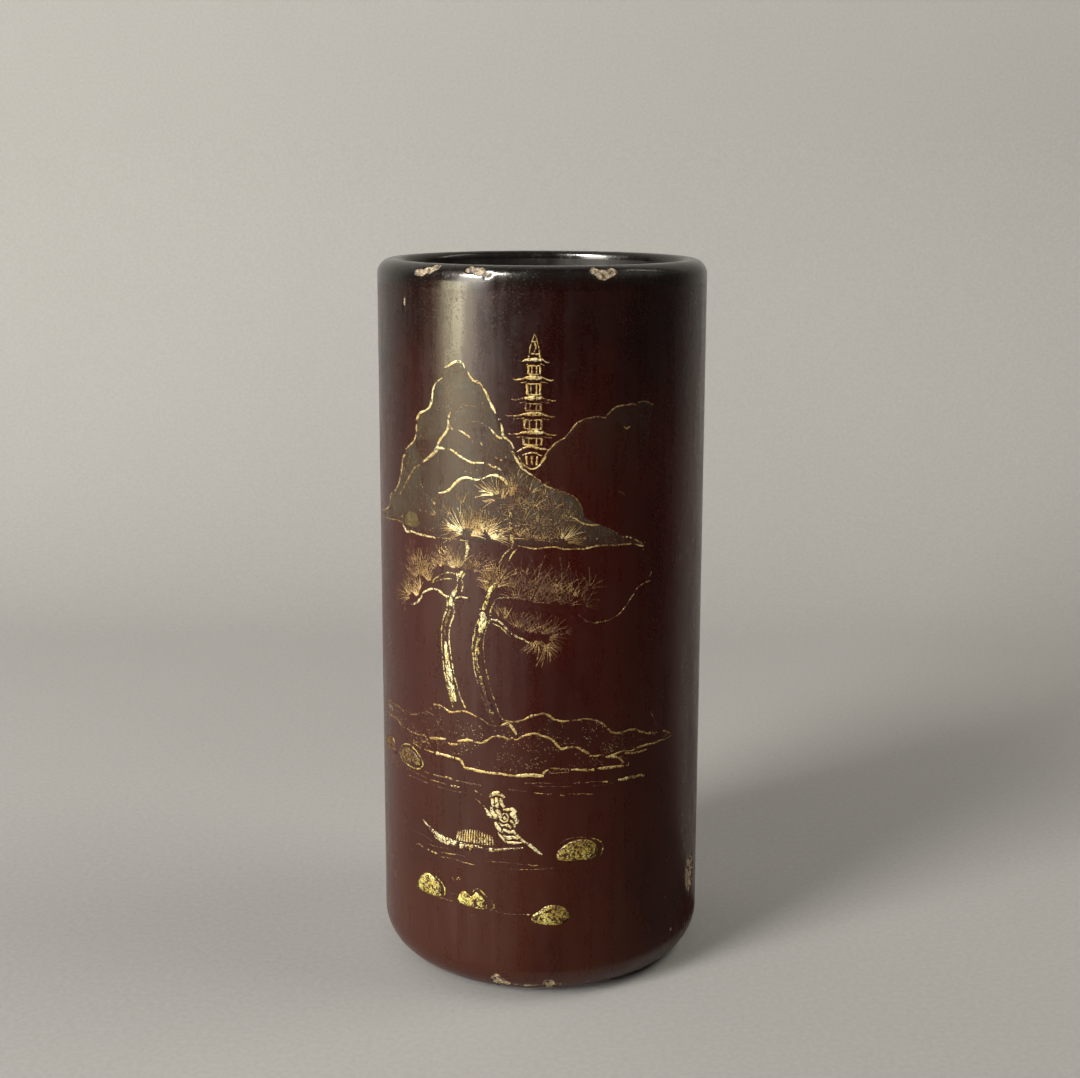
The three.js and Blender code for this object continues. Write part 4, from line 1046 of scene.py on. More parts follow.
def rock_mesh(name, outline, tone, height):
    """A domed lump on the wall, its top pitted like pressed foil, its back buried."""
    ring = smooth_ring(outline, 4)
    middle = sum(ring, Vector((0, 0))) / len(ring)
    places, faces = [], []
    for k in range(ROCK_RINGS):
        share = 1 - k / ROCK_RINGS
        for point in ring:
            flat = (middle + (point - middle) * share) * MM
            dome = height * (1 - share ** 4) ** 0.5
            dent = 1 + 0.4 * noise.noise(Vector((flat.x, flat.y, 0)) * (1.4 / MM))
            lift = ROCK_BACK + dome * dent if k else ROCK_BACK
            places.append(on_wall(flat.x, flat.y, lift))
    top = len(places)
    places.append(on_wall(middle.x * MM, middle.y * MM, height + ROCK_BACK))
    back = len(places)
    places.append(on_wall(middle.x * MM, middle.y * MM, 2 * ROCK_BACK))
    count = len(ring)
    for k in range(ROCK_RINGS - 1):
        for i in range(count):
            j = (i + 1) % count
            faces.append((k * count + i, k * count + j, (k + 1) * count + j, (k + 1) * count + i))
    for i in range(count):
        j = (i + 1) % count
        last = (ROCK_RINGS - 1) * count
        faces.append((last + i, last + j, top))
        faces.append((j, i, back))
    mesh = bpy.data.meshes.new(name)
    mesh.from_pydata(places, [], faces)
    mesh.attributes.new("tone", "FLOAT", "POINT").data.foreach_set(
        "value", [tone] * len(places))
    face_outward(mesh)
    mesh.shade_smooth()
    return mesh


# ---- Shader groups ----------------------------------------------------------------------------

def lacquer_group():
    """Old lacquer: cloudy colour, upright streaks left by the brush and turning, and fine pits."""
    tree, given = new_group(
        "Old lacquer", "ShaderNodeTree",
        [("Place", VECTOR, None), ("Low", COLOUR, None), ("Warm", COLOUR, None),
         ("Deep", COLOUR, None), ("Shade low", FLOAT, 0.09), ("Shade high", FLOAT, 0.13),
         ("Rough low", FLOAT, 0.3), ("Rough high", FLOAT, 0.3)],
        [("Colour", COLOUR, None), ("Roughness", FLOAT, None), ("Height", FLOAT, None)])
    place = given["Place"]
    up = tree.height(place)
    streak = tree.noise(tree.upright(place, 0.045), 620.0, 2.5, 0.55)
    cloud = tree.noise(tree.upright(place, 0.5), 55.0, 4.0, 0.6)
    pits = tree.noise(place, 2400.0, 2.0, 0.6)
    shade = tree.ramp(up, given["Shade low"], given["Shade high"])
    shade = tree.plus(shade, tree.ramp(cloud, 0.35, 0.7, -0.35, 0.4), clamp=True)
    lower = tree.plus(tree.ramp(up, 0.015, 0.075), tree.ramp(cloud, 0.3, 0.7, -0.2, 0.2),
                      clamp=True)
    colour = tree.mix(lower, given["Low"], given["Warm"])
    colour = tree.mix(shade, colour, given["Deep"])
    tint = tree.ramp(streak, 0.3, 0.7, 0.96, 1.04)
    fleck = tree.ramp(pits, 0.68, 0.8, 1.0, 1.6)
    value = tree.times(tint, fleck)
    colour = tree.first("ShaderNodeHueSaturation", {"Color": colour, "Value": value})
    handled = tree.noise(tree.upright(place, 0.35), 300.0, 5.0, 0.7)
    rough = tree.ramp(up, given["Shade low"], given["Shade high"], given["Rough low"],
                      given["Rough high"])
    rough = tree.plus(rough, tree.ramp(streak, 0.3, 0.7, -0.03, 0.05))
    rough = tree.plus(rough, tree.ramp(handled, 0.35, 0.68, -0.03, 0.08))
    rough = tree.plus(rough, tree.ramp(pits, 0.55, 0.8, 0.0, 0.22))
    height = tree.plus(tree.times(streak, 0.6), tree.times(handled, 0.35))
    height = tree.plus(height, tree.times(pits, 0.12))
    tree.output(colour=colour, roughness=rough, height=height)


def chip_group():
    """The border of a chip from the smooth field of its mesh, broken up by a fine noise."""
    tree, given = new_group(
        "Chip", "ShaderNodeTree", [("Place", VECTOR, None), ("Field", FLOAT, 0.0)],
        [("Mask", FLOAT, None), ("Edge", FLOAT, None), ("Grit", FLOAT, None)])
    ragged = tree.minus(tree.noise(given["Place"], 1500.0, 3.0), 0.5)
    field = tree.plus(given["Field"], tree.times(ragged, 0.16))
    mask = tree.ramp(field, 0.49, 0.52)
    wide = tree.ramp(field, 0.36, 0.5)
    edge = tree.minus(wide, mask, clamp=True)
    tree.output(mask=mask, edge=edge, grit=tree.noise(given["Place"], 3200.0, 4.0, 0.7))


def dust_group():
    """Pale dust in patches, thicker where the surface looks up."""
    tree, given = new_group(
        "Dust", "ShaderNodeTree", [("Place", VECTOR, None), ("Amount", FLOAT, 0.1)],
        [("Mask", FLOAT, None)])
    facing = tree.height(tree.add("ShaderNodeNewGeometry").outputs["Normal"])
    lying = tree.ramp(facing, -0.2, 1.0, 0.3, 1.0)
    patch = tree.ramp(tree.noise(given["Place"], 130.0, 4.0, 0.65), 0.4, 0.75)
    motes = tree.ramp(tree.noise(given["Place"], 2900.0, 2.0), 0.45, 0.7)
    amount = tree.times(tree.times(lying, patch), given["Amount"])
    tree.output(mask=tree.times(amount, tree.plus(motes, 0.35), clamp=True))


def gold_group():
    """Rubbed gold: where it is left, and how bright it still is."""
    tree, given = new_group(
        "Rubbed gold", "ShaderNodeTree",
        [("Place", VECTOR, None), ("Tone", FLOAT, 0.0), ("Fresh", COLOUR, None),
         ("Middle", COLOUR, None), ("Dull", COLOUR, None), ("Wear", FLOAT, 0.5)],
        [("Colour", COLOUR, None), ("Left", FLOAT, None), ("Height", FLOAT, None)])
    place = given["Place"]
    broad = tree.ramp(tree.noise(place, 430.0, 3.0, 0.6), 0.3, 0.7, -0.35, 0.35)
    fine = tree.noise(place, 3400.0, 3.0, 0.7)
    coarse = tree.noise(place, 1250.0, 2.0, 0.6)
    dull = tree.plus(given["Tone"], broad)
    dull = tree.plus(dull, tree.ramp(fine, 0.3, 0.7, -0.4, 0.4), clamp=True)
    colour = tree.mix(tree.ramp(dull, 0.0, 0.5), given["Fresh"], given["Middle"])
    colour = tree.mix(tree.ramp(dull, 0.5, 1.0), colour, given["Dull"])
    # the more wear and the duller the tone, the lower the limit above which gold is gone
    limit = tree.minus(0.64, tree.times(given["Wear"], 0.18))
    limit = tree.minus(limit, tree.times(given["Tone"], 0.08))
    grain = tree.plus(tree.times(fine, 0.55), tree.times(coarse, 0.45))
    lost = tree.times(tree.minus(grain, limit), 25.0, clamp=True)
    tree.output(colour=colour, left=tree.minus(1.0, lost), height=fine)


# ---- Materials --------------------------------------------------------------------------------

LACQUER_SHEEN = (1.0, 0.955, 0.88, 1)
GOLD_SPECULAR = 0.3
DUST = (0.30, 0.27, 0.23, 1)
CHIP_EDGE = (0.05, 0.022, 0.012, 1)
CHIP_STAIN = (0.22, 0.14, 0.075, 1)
CHIP_DIRT = (0.055, 0.032, 0.02, 1)
GROUND_STAIN = (0.22, 0.13, 0.06, 1)
WOOD_LIGHT = (0.30, 0.18, 0.085, 1)
WOOD_DARK = (0.17, 0.09, 0.04, 1)
WOOD_PORE = (0.05, 0.03, 0.015, 1)
SUNLIT = (0.30, 0.23, 0.08, 1)
BARK_GOLD = (0.50, 0.38, 0.10, 1)
NEEDLE_GOLD = (0.46, 0.295, 0.10, 1)
ROCK_FRESH = (0.84, 0.76, 0.26, 1)
ROCK_MIDDLE = (0.44, 0.32, 0.05, 1)


def new_material(name):
    """A material, its Tree, its Principled shader and its Object coordinates."""
    material = bpy.data.materials.new(name)
    material.use_nodes = True
    material.node_tree.nodes.clear()
    tree = Tree(material.node_tree)
    shader = tree.add("ShaderNodeBsdfPrincipled")
    tree.add("ShaderNodeOutputMaterial", {"Surface": shader.outputs[0]})
    place = tree.add("ShaderNodeTexCoord").outputs["Object"]
    return material, tree, shader, place


def feed(tree, shader, **values):
    """Joins or sets the shader's inputs, named in lower case with underlines."""
    sockets = {socket.name.lower(): socket for socket in shader.inputs}
    for name, value in values.items():
        socket = sockets[name.replace("_", " ")]
        if isinstance(value, bpy.types.NodeSocket):
            tree.tree.links.new(value, socket)
        else:
            socket.default_value = value


def bump(tree, height, distance, strength=1.0):
    return tree.first("ShaderNodeBump", {
        "Height": height, "Distance": distance, "Strength": strength})


def named(tree, name):
    """A number kept at each point, for shaders."""
    return tree.add("ShaderNodeAttribute", attribute_name=name).outputs["Fac"]


def lacquer_material(name, low, warm, deep, tan, rough, dust, shade=(0.09, 0.128)):
    """A lacquer coat with chips down to the tan ground and a film of dust."""
    material, tree, shader, place = new_material(name)
    groups = bpy.data.node_groups
    coat = tree.group(groups["Old lacquer"], "ShaderNodeGroup", place=place, low=low,
                      warm=warm, deep=deep, shade_low=shade[0], shade_high=shade[1],
                      rough_low=rough[0], rough_high=rough[1])
    chips = tree.group(groups["Chip"], "ShaderNodeGroup", place=place,
                       field=named(tree, "chip"))
    dusty = tree.group(groups["Dust"], "ShaderNodeGroup", place=place, amount=dust)[0]
    bare = tree.mix(tree.ramp(chips["Grit"], 0.42, 0.56), tan, CHIP_STAIN)
    bare = tree.mix(tree.ramp(tree.noise(place, 1150.0, 2.0), 0.48, 0.6), bare, CHIP_DIRT)
    colour = tree.mix(dusty, coat["Colour"], DUST)
    colour = tree.mix(tree.times(chips["Edge"], 0.5), colour, CHIP_EDGE)
    colour = tree.mix(chips["Mask"], colour, bare)
    rough = tree.plus(coat["Roughness"], tree.times(chips["Mask"], 0.5))
    rough = tree.plus(rough, tree.times(dusty, 0.5), clamp=True)
    grit = tree.times(tree.times(chips["Mask"], chips["Grit"]), 2.5)
    height = tree.plus(coat["Height"], grit)
    feed(tree, shader, base_color=colour, roughness=rough,
         normal=bump(tree, height, 0.02 * MM, 0.5), specular_ior_level=0.44,
         specular_tint=LACQUER_SHEEN)
    return material


def gold_material(name, colours, wear, shift=0.0, metal=0.35, fresh=None, middle=None):
    """Gold powder rubbed thin: lacquer shows between its grains."""
    material, tree, shader, place = new_material(name)
    tone = tree.plus(named(tree, "tone"), shift, clamp=True)
    gold = tree.group(bpy.data.node_groups["Rubbed gold"], "ShaderNodeGroup", place=place,
                      tone=tone, fresh=fresh or colours.gold, middle=middle or colours.amber,
                      dull=colours.rubbed, wear=wear)
    colour = tree.mix(gold["Left"], colours.red, gold["Colour"])
    rough = tree.ramp(gold["Height"], 0.3, 0.7, 0.42, 0.62)
    feed(tree, shader, base_color=colour, roughness=rough,
         metallic=tree.times(gold["Left"], metal),
         normal=bump(tree, gold["Height"], 0.03 * MM, 0.6),
         specular_ior_level=GOLD_SPECULAR)
    return material


def powder_material(name, colours, tint, cover, fade):
    """A thin sprinkling of powder. It lets the lacquer show and fades between two heights."""
    material, tree, shader, place = new_material(name)
    up = tree.height(place)
    cloud = tree.ramp(tree.noise(place, 150.0, 4.0, 0.6), 0.3, 0.7, 0.55, 1.0)
    grains = tree.ramp(tree.noise(place, 3600.0, 2.0, 0.6), 0.4, 0.6, 0.35, 1.0)
    share = tree.times(cloud, grains)
    share = tree.times(share, tree.ramp(up, fade[0] * MM, fade[1] * MM))
    colour = tree.mix(tree.ramp(tree.noise(place, 900.0), 0.35, 0.7), tint, colours.rubbed)
    feed(tree, shader, base_color=colour, roughness=0.55, metallic=0.2,
         alpha=tree.times(share, cover), specular_ior_level=GOLD_SPECULAR)
    return material


def wood_material(name, light, dark):
    """Turned wood: long grain up the wall with fine pores."""
    material, tree, shader, place = new_material(name)
    grain = tree.noise(tree.upright(place, 0.06), 420.0, 5.0, 0.65)
    pores = tree.noise(tree.upright(place, 0.1), 2600.0, 2.0)
    colour = tree.mix(tree.ramp(grain, 0.3, 0.7), light, dark)
    colour = tree.mix(tree.ramp(pores, 0.62, 0.7, 0.0, 0.5), colour, WOOD_PORE)
    feed(tree, shader, base_color=colour, roughness=tree.ramp(pores, 0.3, 0.7, 0.6, 0.8),
         normal=bump(tree, grain, 0.05 * MM, 0.5))
    return material


def ground_material(name, tan):
    """The dry ground of clay and lacquer, gritty and stained in patches."""
    material, tree, shader, place = new_material(name)
    grit = tree.noise(place, 2600.0, 4.0, 0.7)
    stain = tree.noise(place, 220.0, 3.0)
    colour = tree.mix(tree.ramp(stain, 0.35, 0.7), tan, GROUND_STAIN)
    feed(tree, shader, base_color=colour, roughness=tree.ramp(grit, 0.3, 0.7, 0.75, 0.95),
         normal=bump(tree, grit, 0.05 * MM, 0.6))
    return material


def backdrop_material(name, colour):
    """Matt warm grey paper with a faint tooth."""
    material, tree, shader, place = new_material(name)
    tooth = tree.noise(place, 900.0, 3.0)
    cloud = tree.noise(place, 3.0, 3.0)
    value = tree.times(tree.ramp(tooth, 0.3, 0.7, 0.95, 1.05),
                       tree.ramp(cloud, 0.3, 0.7, 0.97, 1.03))
    shade = tree.first("ShaderNodeHueSaturation", {"Color": colour, "Value": value})
    feed(tree, shader, base_color=shade, roughness=0.92,
         normal=bump(tree, tooth, 0.05 * MM, 0.3), specular_ior_level=0.15)
    return material


# ---- The stage --------------------------------------------------------------------------------

SWEEP_HALF_WIDTH = 1.6
SWEEP_FRONT = -1.6
SWEEP_BACK = 0.38
SWEEP_BEND = 0.17
SWEEP_TOP = 1.8

# the painted-shade sheet's inner and outer radius, its height, and the degrees it covers round the
# pot: a dark sheet that only reflections see, standing in for the shaded side of the room
SHADE_SHEET_NEAR = 0.036
SHADE_SHEET_RADIUS = 0.24
SHADE_SHEET_HEIGHT = 0.75
SHADE_SHEET_LIFT = 0.001
SHADE_SHEET_FROM = -12
SHADE_SHEET_TO = 104
SHADE_SHEET_STEPS = 24
# painted shade: the colour of the dark sheet that the pot's reflections show in place of the room's
# shaded side
SHADE_SHEET_BLACK = (0.012, 0.010, 0.009, 1)

ROOM_COLOUR = (0.52, 0.50, 0.47, 1)
ROOM_STRENGTH = 0.04

CAMERA_SENSOR = 36.0
CAMERA_LENS = 53.95
CAMERA_REACH = 8.0
CAMERA_PLACE = (-0.456 * MM, -308.28 * MM, 151.28 * MM)
CAMERA_TILT = 12.707
CAMERA_ROLL = -0.136

# (name, azimuth, elevation, distance, size, power, colour, kind of ray that can't see it)
LIGHTS = [
    ("window", -48, 17, 0.94, (0.34, 0.5), 7.8, (0.96, 0.95, 0.93), None),
    ("window_sill", -60, 0, 0.9, (0.3, 0.12), 2.2, (1.0, 0.95, 0.66), None),
    ("upper_window", -50, 38, 1.0, (0.24, 0.4), 2.9, (1.0, 0.96, 0.82), None),
    ("right_fill", 90, 48, 0.8, (0.4, 0.4), 2.3, (1.0, 0.97, 0.86), None),
    # a wash over the left of the sweep that nothing mirrors, and a glow that is only mirrored
    ("sweep_wash", -118, 38, 0.5, (0.3, 0.3), 0.18, (1.0, 0.98, 0.95), "glossy"),
    ("lip_glow", -52, 48, 1.0, (0.22, 0.5), 44.0, (1.0, 0.98, 0.95), "diffuse"),
]


def make_sweep(colours):
    """Floor and backdrop in one sheet, bent up well behind the pot."""
    bend = arc((SWEEP_BACK - SWEEP_BEND, SWEEP_BEND), SWEEP_BEND, -90, 0, 16)
    profile = [(SWEEP_FRONT, 0)] + bend + [(SWEEP_BACK, SWEEP_TOP)]
    places = [(side * SWEEP_HALF_WIDTH, y, z) for y, z in profile for side in (-1, 1)]
    faces = [(2 * i, 2 * i + 1, 2 * i + 3, 2 * i + 2) for i in range(len(profile) - 1)]
    mesh = bpy.data.meshes.new("sweep")
    mesh.from_pydata(places, [], faces)
    mesh.shade_smooth()
    mesh.materials.append(backdrop_material("backdrop_paper", colours.backdrop))
    link(mesh, "sweep")


def area_light(name, azimuth, elevation, distance, size, power, colour):
    """An area light round the pot: azimuth 0 is the camera's side, positive to the right."""
    data = bpy.data.lights.new(name, "AREA")
    data.shape = "RECTANGLE"
    data.size, data.size_y = size
    data.energy = power
    data.color = colour
    a, e = math.radians(azimuth), math.radians(elevation)
    aim = Vector((0, 0, HEIGHT / 2))
    place = aim + distance * Vector((math.sin(a) * math.cos(e), -math.cos(a) * math.cos(e),
                                     math.sin(e)))
    lamp = bpy.data.objects.new(name, data)
    lamp.location = place
    lamp.rotation_euler = (aim - place).to_track_quat("-Z", "Y").to_euler()
    lamp.visible_camera = False
    bpy.context.scene.collection.objects.link(lamp)
    return lamp


def make_lights():
    """The windows at the left, a fill at the right, and two lamps that only do one thing."""
    for name, azimuth, elevation, distance, size, power, colour, blind in LIGHTS:
        lamp = area_light(name, azimuth, elevation, distance, size, power, colour)
        if blind:
            setattr(lamp, "visible_" + blind, False)
    world = bpy.data.worlds.new("room")
    world.use_nodes = True
    background = world.node_tree.nodes["Background"]
    background.inputs["Color"].default_value = ROOM_COLOUR
    background.inputs["Strength"].default_value = ROOM_STRENGTH
    bpy.context.scene.world = world


def make_shade_sheet():
    """A dark sheet of painted shade on the floor and up round the right front. Only reflections see
    it, so it paints shade into the reflections on the pot's right side.
    """
    material, tree, shader, _ = new_material("black_flag")
    feed(tree, shader, base_color=SHADE_SHEET_BLACK, roughness=0.9)
    places = []
    for i in range(SHADE_SHEET_STEPS + 1):
        a = math.radians(SHADE_SHEET_FROM + (SHADE_SHEET_TO - SHADE_SHEET_FROM) * i / SHADE_SHEET_STEPS)
        side = Vector((math.sin(a), -math.cos(a), 0))
        places += [side * SHADE_SHEET_NEAR + Vector((0, 0, SHADE_SHEET_LIFT)),
                   side * SHADE_SHEET_RADIUS + Vector((0, 0, SHADE_SHEET_LIFT)),
                   side * SHADE_SHEET_RADIUS + Vector((0, 0, SHADE_SHEET_HEIGHT))]
    faces = []
    for i in range(SHADE_SHEET_STEPS):
        for k in range(2):
            first = 3 * i + k
            faces.append((first, first + 3, first + 4, first + 1))
    mesh = bpy.data.meshes.new("flag")
    mesh.from_pydata(places, [], faces)
    mesh.materials.append(material)
    flag = link(mesh, "flag")
    # only glossy rays see this sheet: it paints shade into the pot's reflections and nothing else
    for seen in ("camera", "diffuse", "shadow", "transmission", "volume_scatter"):
        setattr(flag, "visible_" + seen, False)


def make_camera():
    """The camera looks a little down on the pot, and is turned a trace on its axis."""
    data = bpy.data.cameras.new("camera")
    data.sensor_width = CAMERA_SENSOR
    data.lens = CAMERA_LENS
    data.clip_end = CAMERA_REACH
    camera = bpy.data.objects.new("camera", data)
    camera.location = CAMERA_PLACE
    camera.rotation_euler = Euler(
        (math.radians(90 - CAMERA_TILT), math.radians(CAMERA_ROLL), 0), "XYZ")
    bpy.context.scene.collection.objects.link(camera)
    bpy.context.scene.camera = camera
    bpy.context.scene.view_settings.view_transform = "Standard"


# ---- Operators: one for each piece or group of like pieces ------------------------------------

class PotOperator:
    bl_options = {"REGISTER", "UNDO"}

    def execute(self, context):
        self.make(context.scene.pot_sizes, context.scene.pot_colours)
        return {"FINISHED"}


class POT_OT_trees(PotOperator, bpy.types.Operator):
    """Build the node trees that the pieces share"""
    bl_idname = "pot.trees"
    bl_label = "Node trees"

    def make(self, sizes, colours):
        wrap_tree()
        for build in (stroke_tree, fan_tree, ground_tree, speck_tree, turned_tree,
                      lacquer_group, chip_group, dust_group, gold_group):
            build()


class POT_OT_wood(PotOperator, bpy.types.Operator):
    """Give the hidden wooden wall and base their grain, and the ground coat its grit"""
    bl_idname = "pot.wood"
    bl_label = "Wood and ground"

    def make(self, sizes, colours):
        wood = wood_material("turned_wood", WOOD_LIGHT, WOOD_DARK)
        ground = ground_material("tan_ground", colours.tan)
        for node, material in (("wall_core", wood), ("base_disc", wood),
                               ("ground_coat", ground)):
            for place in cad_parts[node].material_slots:
                place.material = material


class POT_OT_body(PotOperator, bpy.types.Operator):
    """Turn the red-brown lacquer coat of the wall, chipped at the foot"""
    bl_idname = "pot.body"
    bl_label = "Wall lacquer"

    def make(self, sizes, colours):
        top = RIM_LINE - COAT_GAP
        steps = sizes.arc_steps
        outer = (foot_arc(0, steps * 2)
                 + rise(FOOT_ROUND, top, sizes.wall_step, wall_radius)
                 + [(wall_radius(top), top)])
        inner = [(wall_radius(top) - COAT, top)] + foot_arc(COAT, 4)[::-1]
        material = lacquer_material("red_lacquer", colours.brown, colours.red, colours.deep,
                                    colours.tan, rough=(0.27, 0.24), dust=0.03)
        piece = turned("wall_lacquer_coat", outer + inner, material, sizes)
        chip(piece, BODY_CHIPS, sizes.chip_depth)
        settle(piece, "red_lacquer", "body_lacquer")


class POT_OT_rim(PotOperator, bpy.types.Operator):
    """Turn the black coat over the lip, chipped in places"""
    bl_idname = "pot.rim"
    bl_label = "Rim lacquer"

    def make(self, sizes, colours):
        steps = sizes.arc_steps
        outer = ([(wall_radius(RIM_LINE), RIM_LINE)] + lip_arc(0, steps)
                 + edge_arc(0, steps // 2))
        inner = edge_arc(COAT, 3)[::-1] + lip_arc(COAT, 4)[::-1]
        inner.append((wall_radius(RIM_LINE) - COAT, RIM_LINE))
        material = lacquer_material("rim_lacquer", colours.deep, colours.deep, colours.black,
                                    colours.tan, rough=(0.2, 0.14), dust=0.05,
                                    shade=(RIM_LINE, HEIGHT - LIP_ROUND / 2))
        piece = turned("rim_lacquer_coat", outer + inner, material, sizes)
        chip(piece, RIM_CHIPS, sizes.chip_depth)
        settle(piece, "black_lacquer", "rim_lacquer")


class POT_OT_lining(PotOperator, bpy.types.Operator):
    """Turn the black coat of the inside and its floor"""
    bl_idname = "pot.lining"
    bl_label = "Inside lacquer"

    def make(self, sizes, colours):
        top = HEIGHT - EDGE_ROUND - COAT_GAP
        cove = arc((BORE_RADIUS - FLOOR_COVE, FLOOR + FLOOR_COVE), FLOOR_COVE, 0, -90, 6)
        profile = [(BORE_RADIUS + COAT, top), (BORE_RADIUS, top)]
        profile += rise(FLOOR + FLOOR_COVE, top, 12 * MM, lambda height: BORE_RADIUS)[::-1]
        profile += cove + [(AXIS_HOLE, FLOOR), (AXIS_HOLE, FLOOR - COAT),
                           (BORE_RADIUS + COAT, FLOOR - COAT)]
        material = lacquer_material("inside_lacquer", colours.black, colours.black,
                                    colours.black, colours.tan, rough=(0.34, 0.34),
                                    dust=0.4)
        piece = turned("inside_lacquer_coat", profile, material, sizes)
        settle(piece, "black_lacquer", "lining_lacquer")


class POT_OT_foot(PotOperator, bpy.types.Operator):
    """Turn the black coat of the flat foot and the sunk underside"""
    bl_idname = "pot.foot"
    bl_label = "Underside lacquer"

    def make(self, sizes, colours):
        inner_edge = arc((RECESS_RADIUS + RECESS_EDGE, RECESS_EDGE), RECESS_EDGE, 180, 270, 5)
        profile = [(AXIS_HOLE, RECESS_DEPTH), (RECESS_RADIUS, RECESS_DEPTH)] + inner_edge
        profile += [(FOOT_FLAT, 0), (FOOT_FLAT, COAT),
                    (RECESS_RADIUS + COAT + RECESS_EDGE, COAT),
                    (RECESS_RADIUS + COAT, RECESS_DEPTH + COAT),
                    (AXIS_HOLE, RECESS_DEPTH + COAT)]
        material = lacquer_material("underside_lacquer", colours.black, colours.black,
                                    colours.black, colours.tan, rough=(0.4, 0.4),
                                    dust=0.15)
        piece = turned("underside_lacquer_coat", profile, material, sizes)
        settle(piece, "black_lacquer", "foot_lacquer")


class POT_OT_grounds(PotOperator, bpy.types.Operator):
    """Sprinkle the powder grounds of the hills and the grains on the shore"""
    bl_idname = "pot.grounds"
    bl_label = "Sprinkled grounds"

    def make(self, sizes, colours):
        tree = bpy.data.node_groups["Filled ground"]
        hills = [("hill_left_powder", LEFT_HILL, colours.powder, 0.56, (84, 92)),
                 ("hill_right_powder", RIGHT_HILL, colours.powder, 0.13, (94, 113)),
                 ("sunlit_powder", SUNLIT_PATCH, SUNLIT, 0.55, (84, 88))]
        for name, outline, tint, cover, fade in hills:
            material = powder_material(name, colours, tuple(tint), cover, fade)
            piece = grown(outline_mesh(name, outline), name, tree,
                          thickness=sizes.powder_lift, material=material)
            face_outward(piece.data)
            settle(piece, "gold")
        grains = bpy.data.node_groups["Scattered grains"]
        material = gold_material("gold_grains", colours, 0.3, 0.3)
        for name, outline, density, seed in (
                ("shore_grains", SHORE_GROUND, 2.6e6, 3), ("hill_grains", LEFT_HILL, 0.3e6, 5)):
            piece = grown(outline_mesh(name, outline), name, grains, density=density,
                          seed=seed, grain=0.09 * MM, patchiness=0.48, material=material)
            settle(piece, "gold")


class POT_OT_lines(PotOperator, bpy.types.Operator):
    """Draw the gold lines of the hills, the shore, the water and the twig"""
    bl_idname = "pot.lines"
    bl_label = "Gold lines"

    def make(self, sizes, colours):
        ridge = gold_material("gold_ridge_lines", colours, 0.55, 0.15)
        shore = gold_material("gold_shore_lines", colours, 0.38, 0.36)
        water = gold_material("gold_water_lines", colours, 0.6, 0.25)
        for seed, (name, drawn, material, weight) in enumerate((
                ("hill_left_lines", MOUNTAIN_LEFT, ridge, 0.85),
                ("hill_right_lines", MOUNTAIN_RIGHT, shore, 0.75),
                ("shore_lines", SHORE, shore, 0.9), ("water_lines", WATER, water, 0.8),
                ("bare_twig", TWIG, water, 0.65))):
            settle(strokes(name, drawn, material, sizes, seed, weight), "gold")


class POT_OT_pines(PotOperator, bpy.types.Operator):
    """Draw the pine trunks and grow their needle fans"""
    bl_idname = "pot.pines"
    bl_label = "Pines"

    def make(self, sizes, colours):
        bark = gold_material("gold_bark", colours, 0.68, 0.15, middle=BARK_GOLD)
        settle(strokes("pine_trunks", TRUNKS, bark, sizes, 11.0, 0.92), "gold",
               "pine_trunk_left", "pine_trunk_right")
        names = ("heading", "spread", "reach", "needles", "tone")
        points = []
        values = {name: [] for name in names}
        for across, up, heading, spread, reach, needles, tone in FANS:
            points.append((across * MM, up * MM))
            # dull fans are open and thin, bright ones close and full
            loose = 1.0 + max(0.0, tone - 0.3)
            longer = 1.0 + 0.3 * (loose - 1.0)
            row = (math.radians(heading), math.radians(spread) * loose, reach * longer * MM,
                   round(needles * sizes.needle_share / loose), tone * loose)
            for name, value in zip(names, row):
                values[name].append(float(value))
        source = edge_mesh("pine_needles", [(values, points)])
        needle_gold = gold_material("gold_needles", colours, 0.3, 0.33, middle=NEEDLE_GOLD)
        piece = grown(source, "pine_needles", bpy.data.node_groups["Needle fans"],
                      needle_width=sizes.needle_width, lift=sizes.stroke_lift,
                      material=needle_gold)
        settle(piece, "gold")


class POT_OT_pagoda(PotOperator, bpy.types.Operator):
    """Draw the pagoda, roof by roof, up to its spire"""
    bl_idname = "pot.pagoda"
    bl_label = "Pagoda"

    def make(self, sizes, colours):
        material = gold_material("gold_pagoda", colours, 0.45, 0.28)
        settle(strokes("pagoda_lines", pagoda_strokes(), material, sizes, 21.0, 0.78),
               "gold", "pagoda")


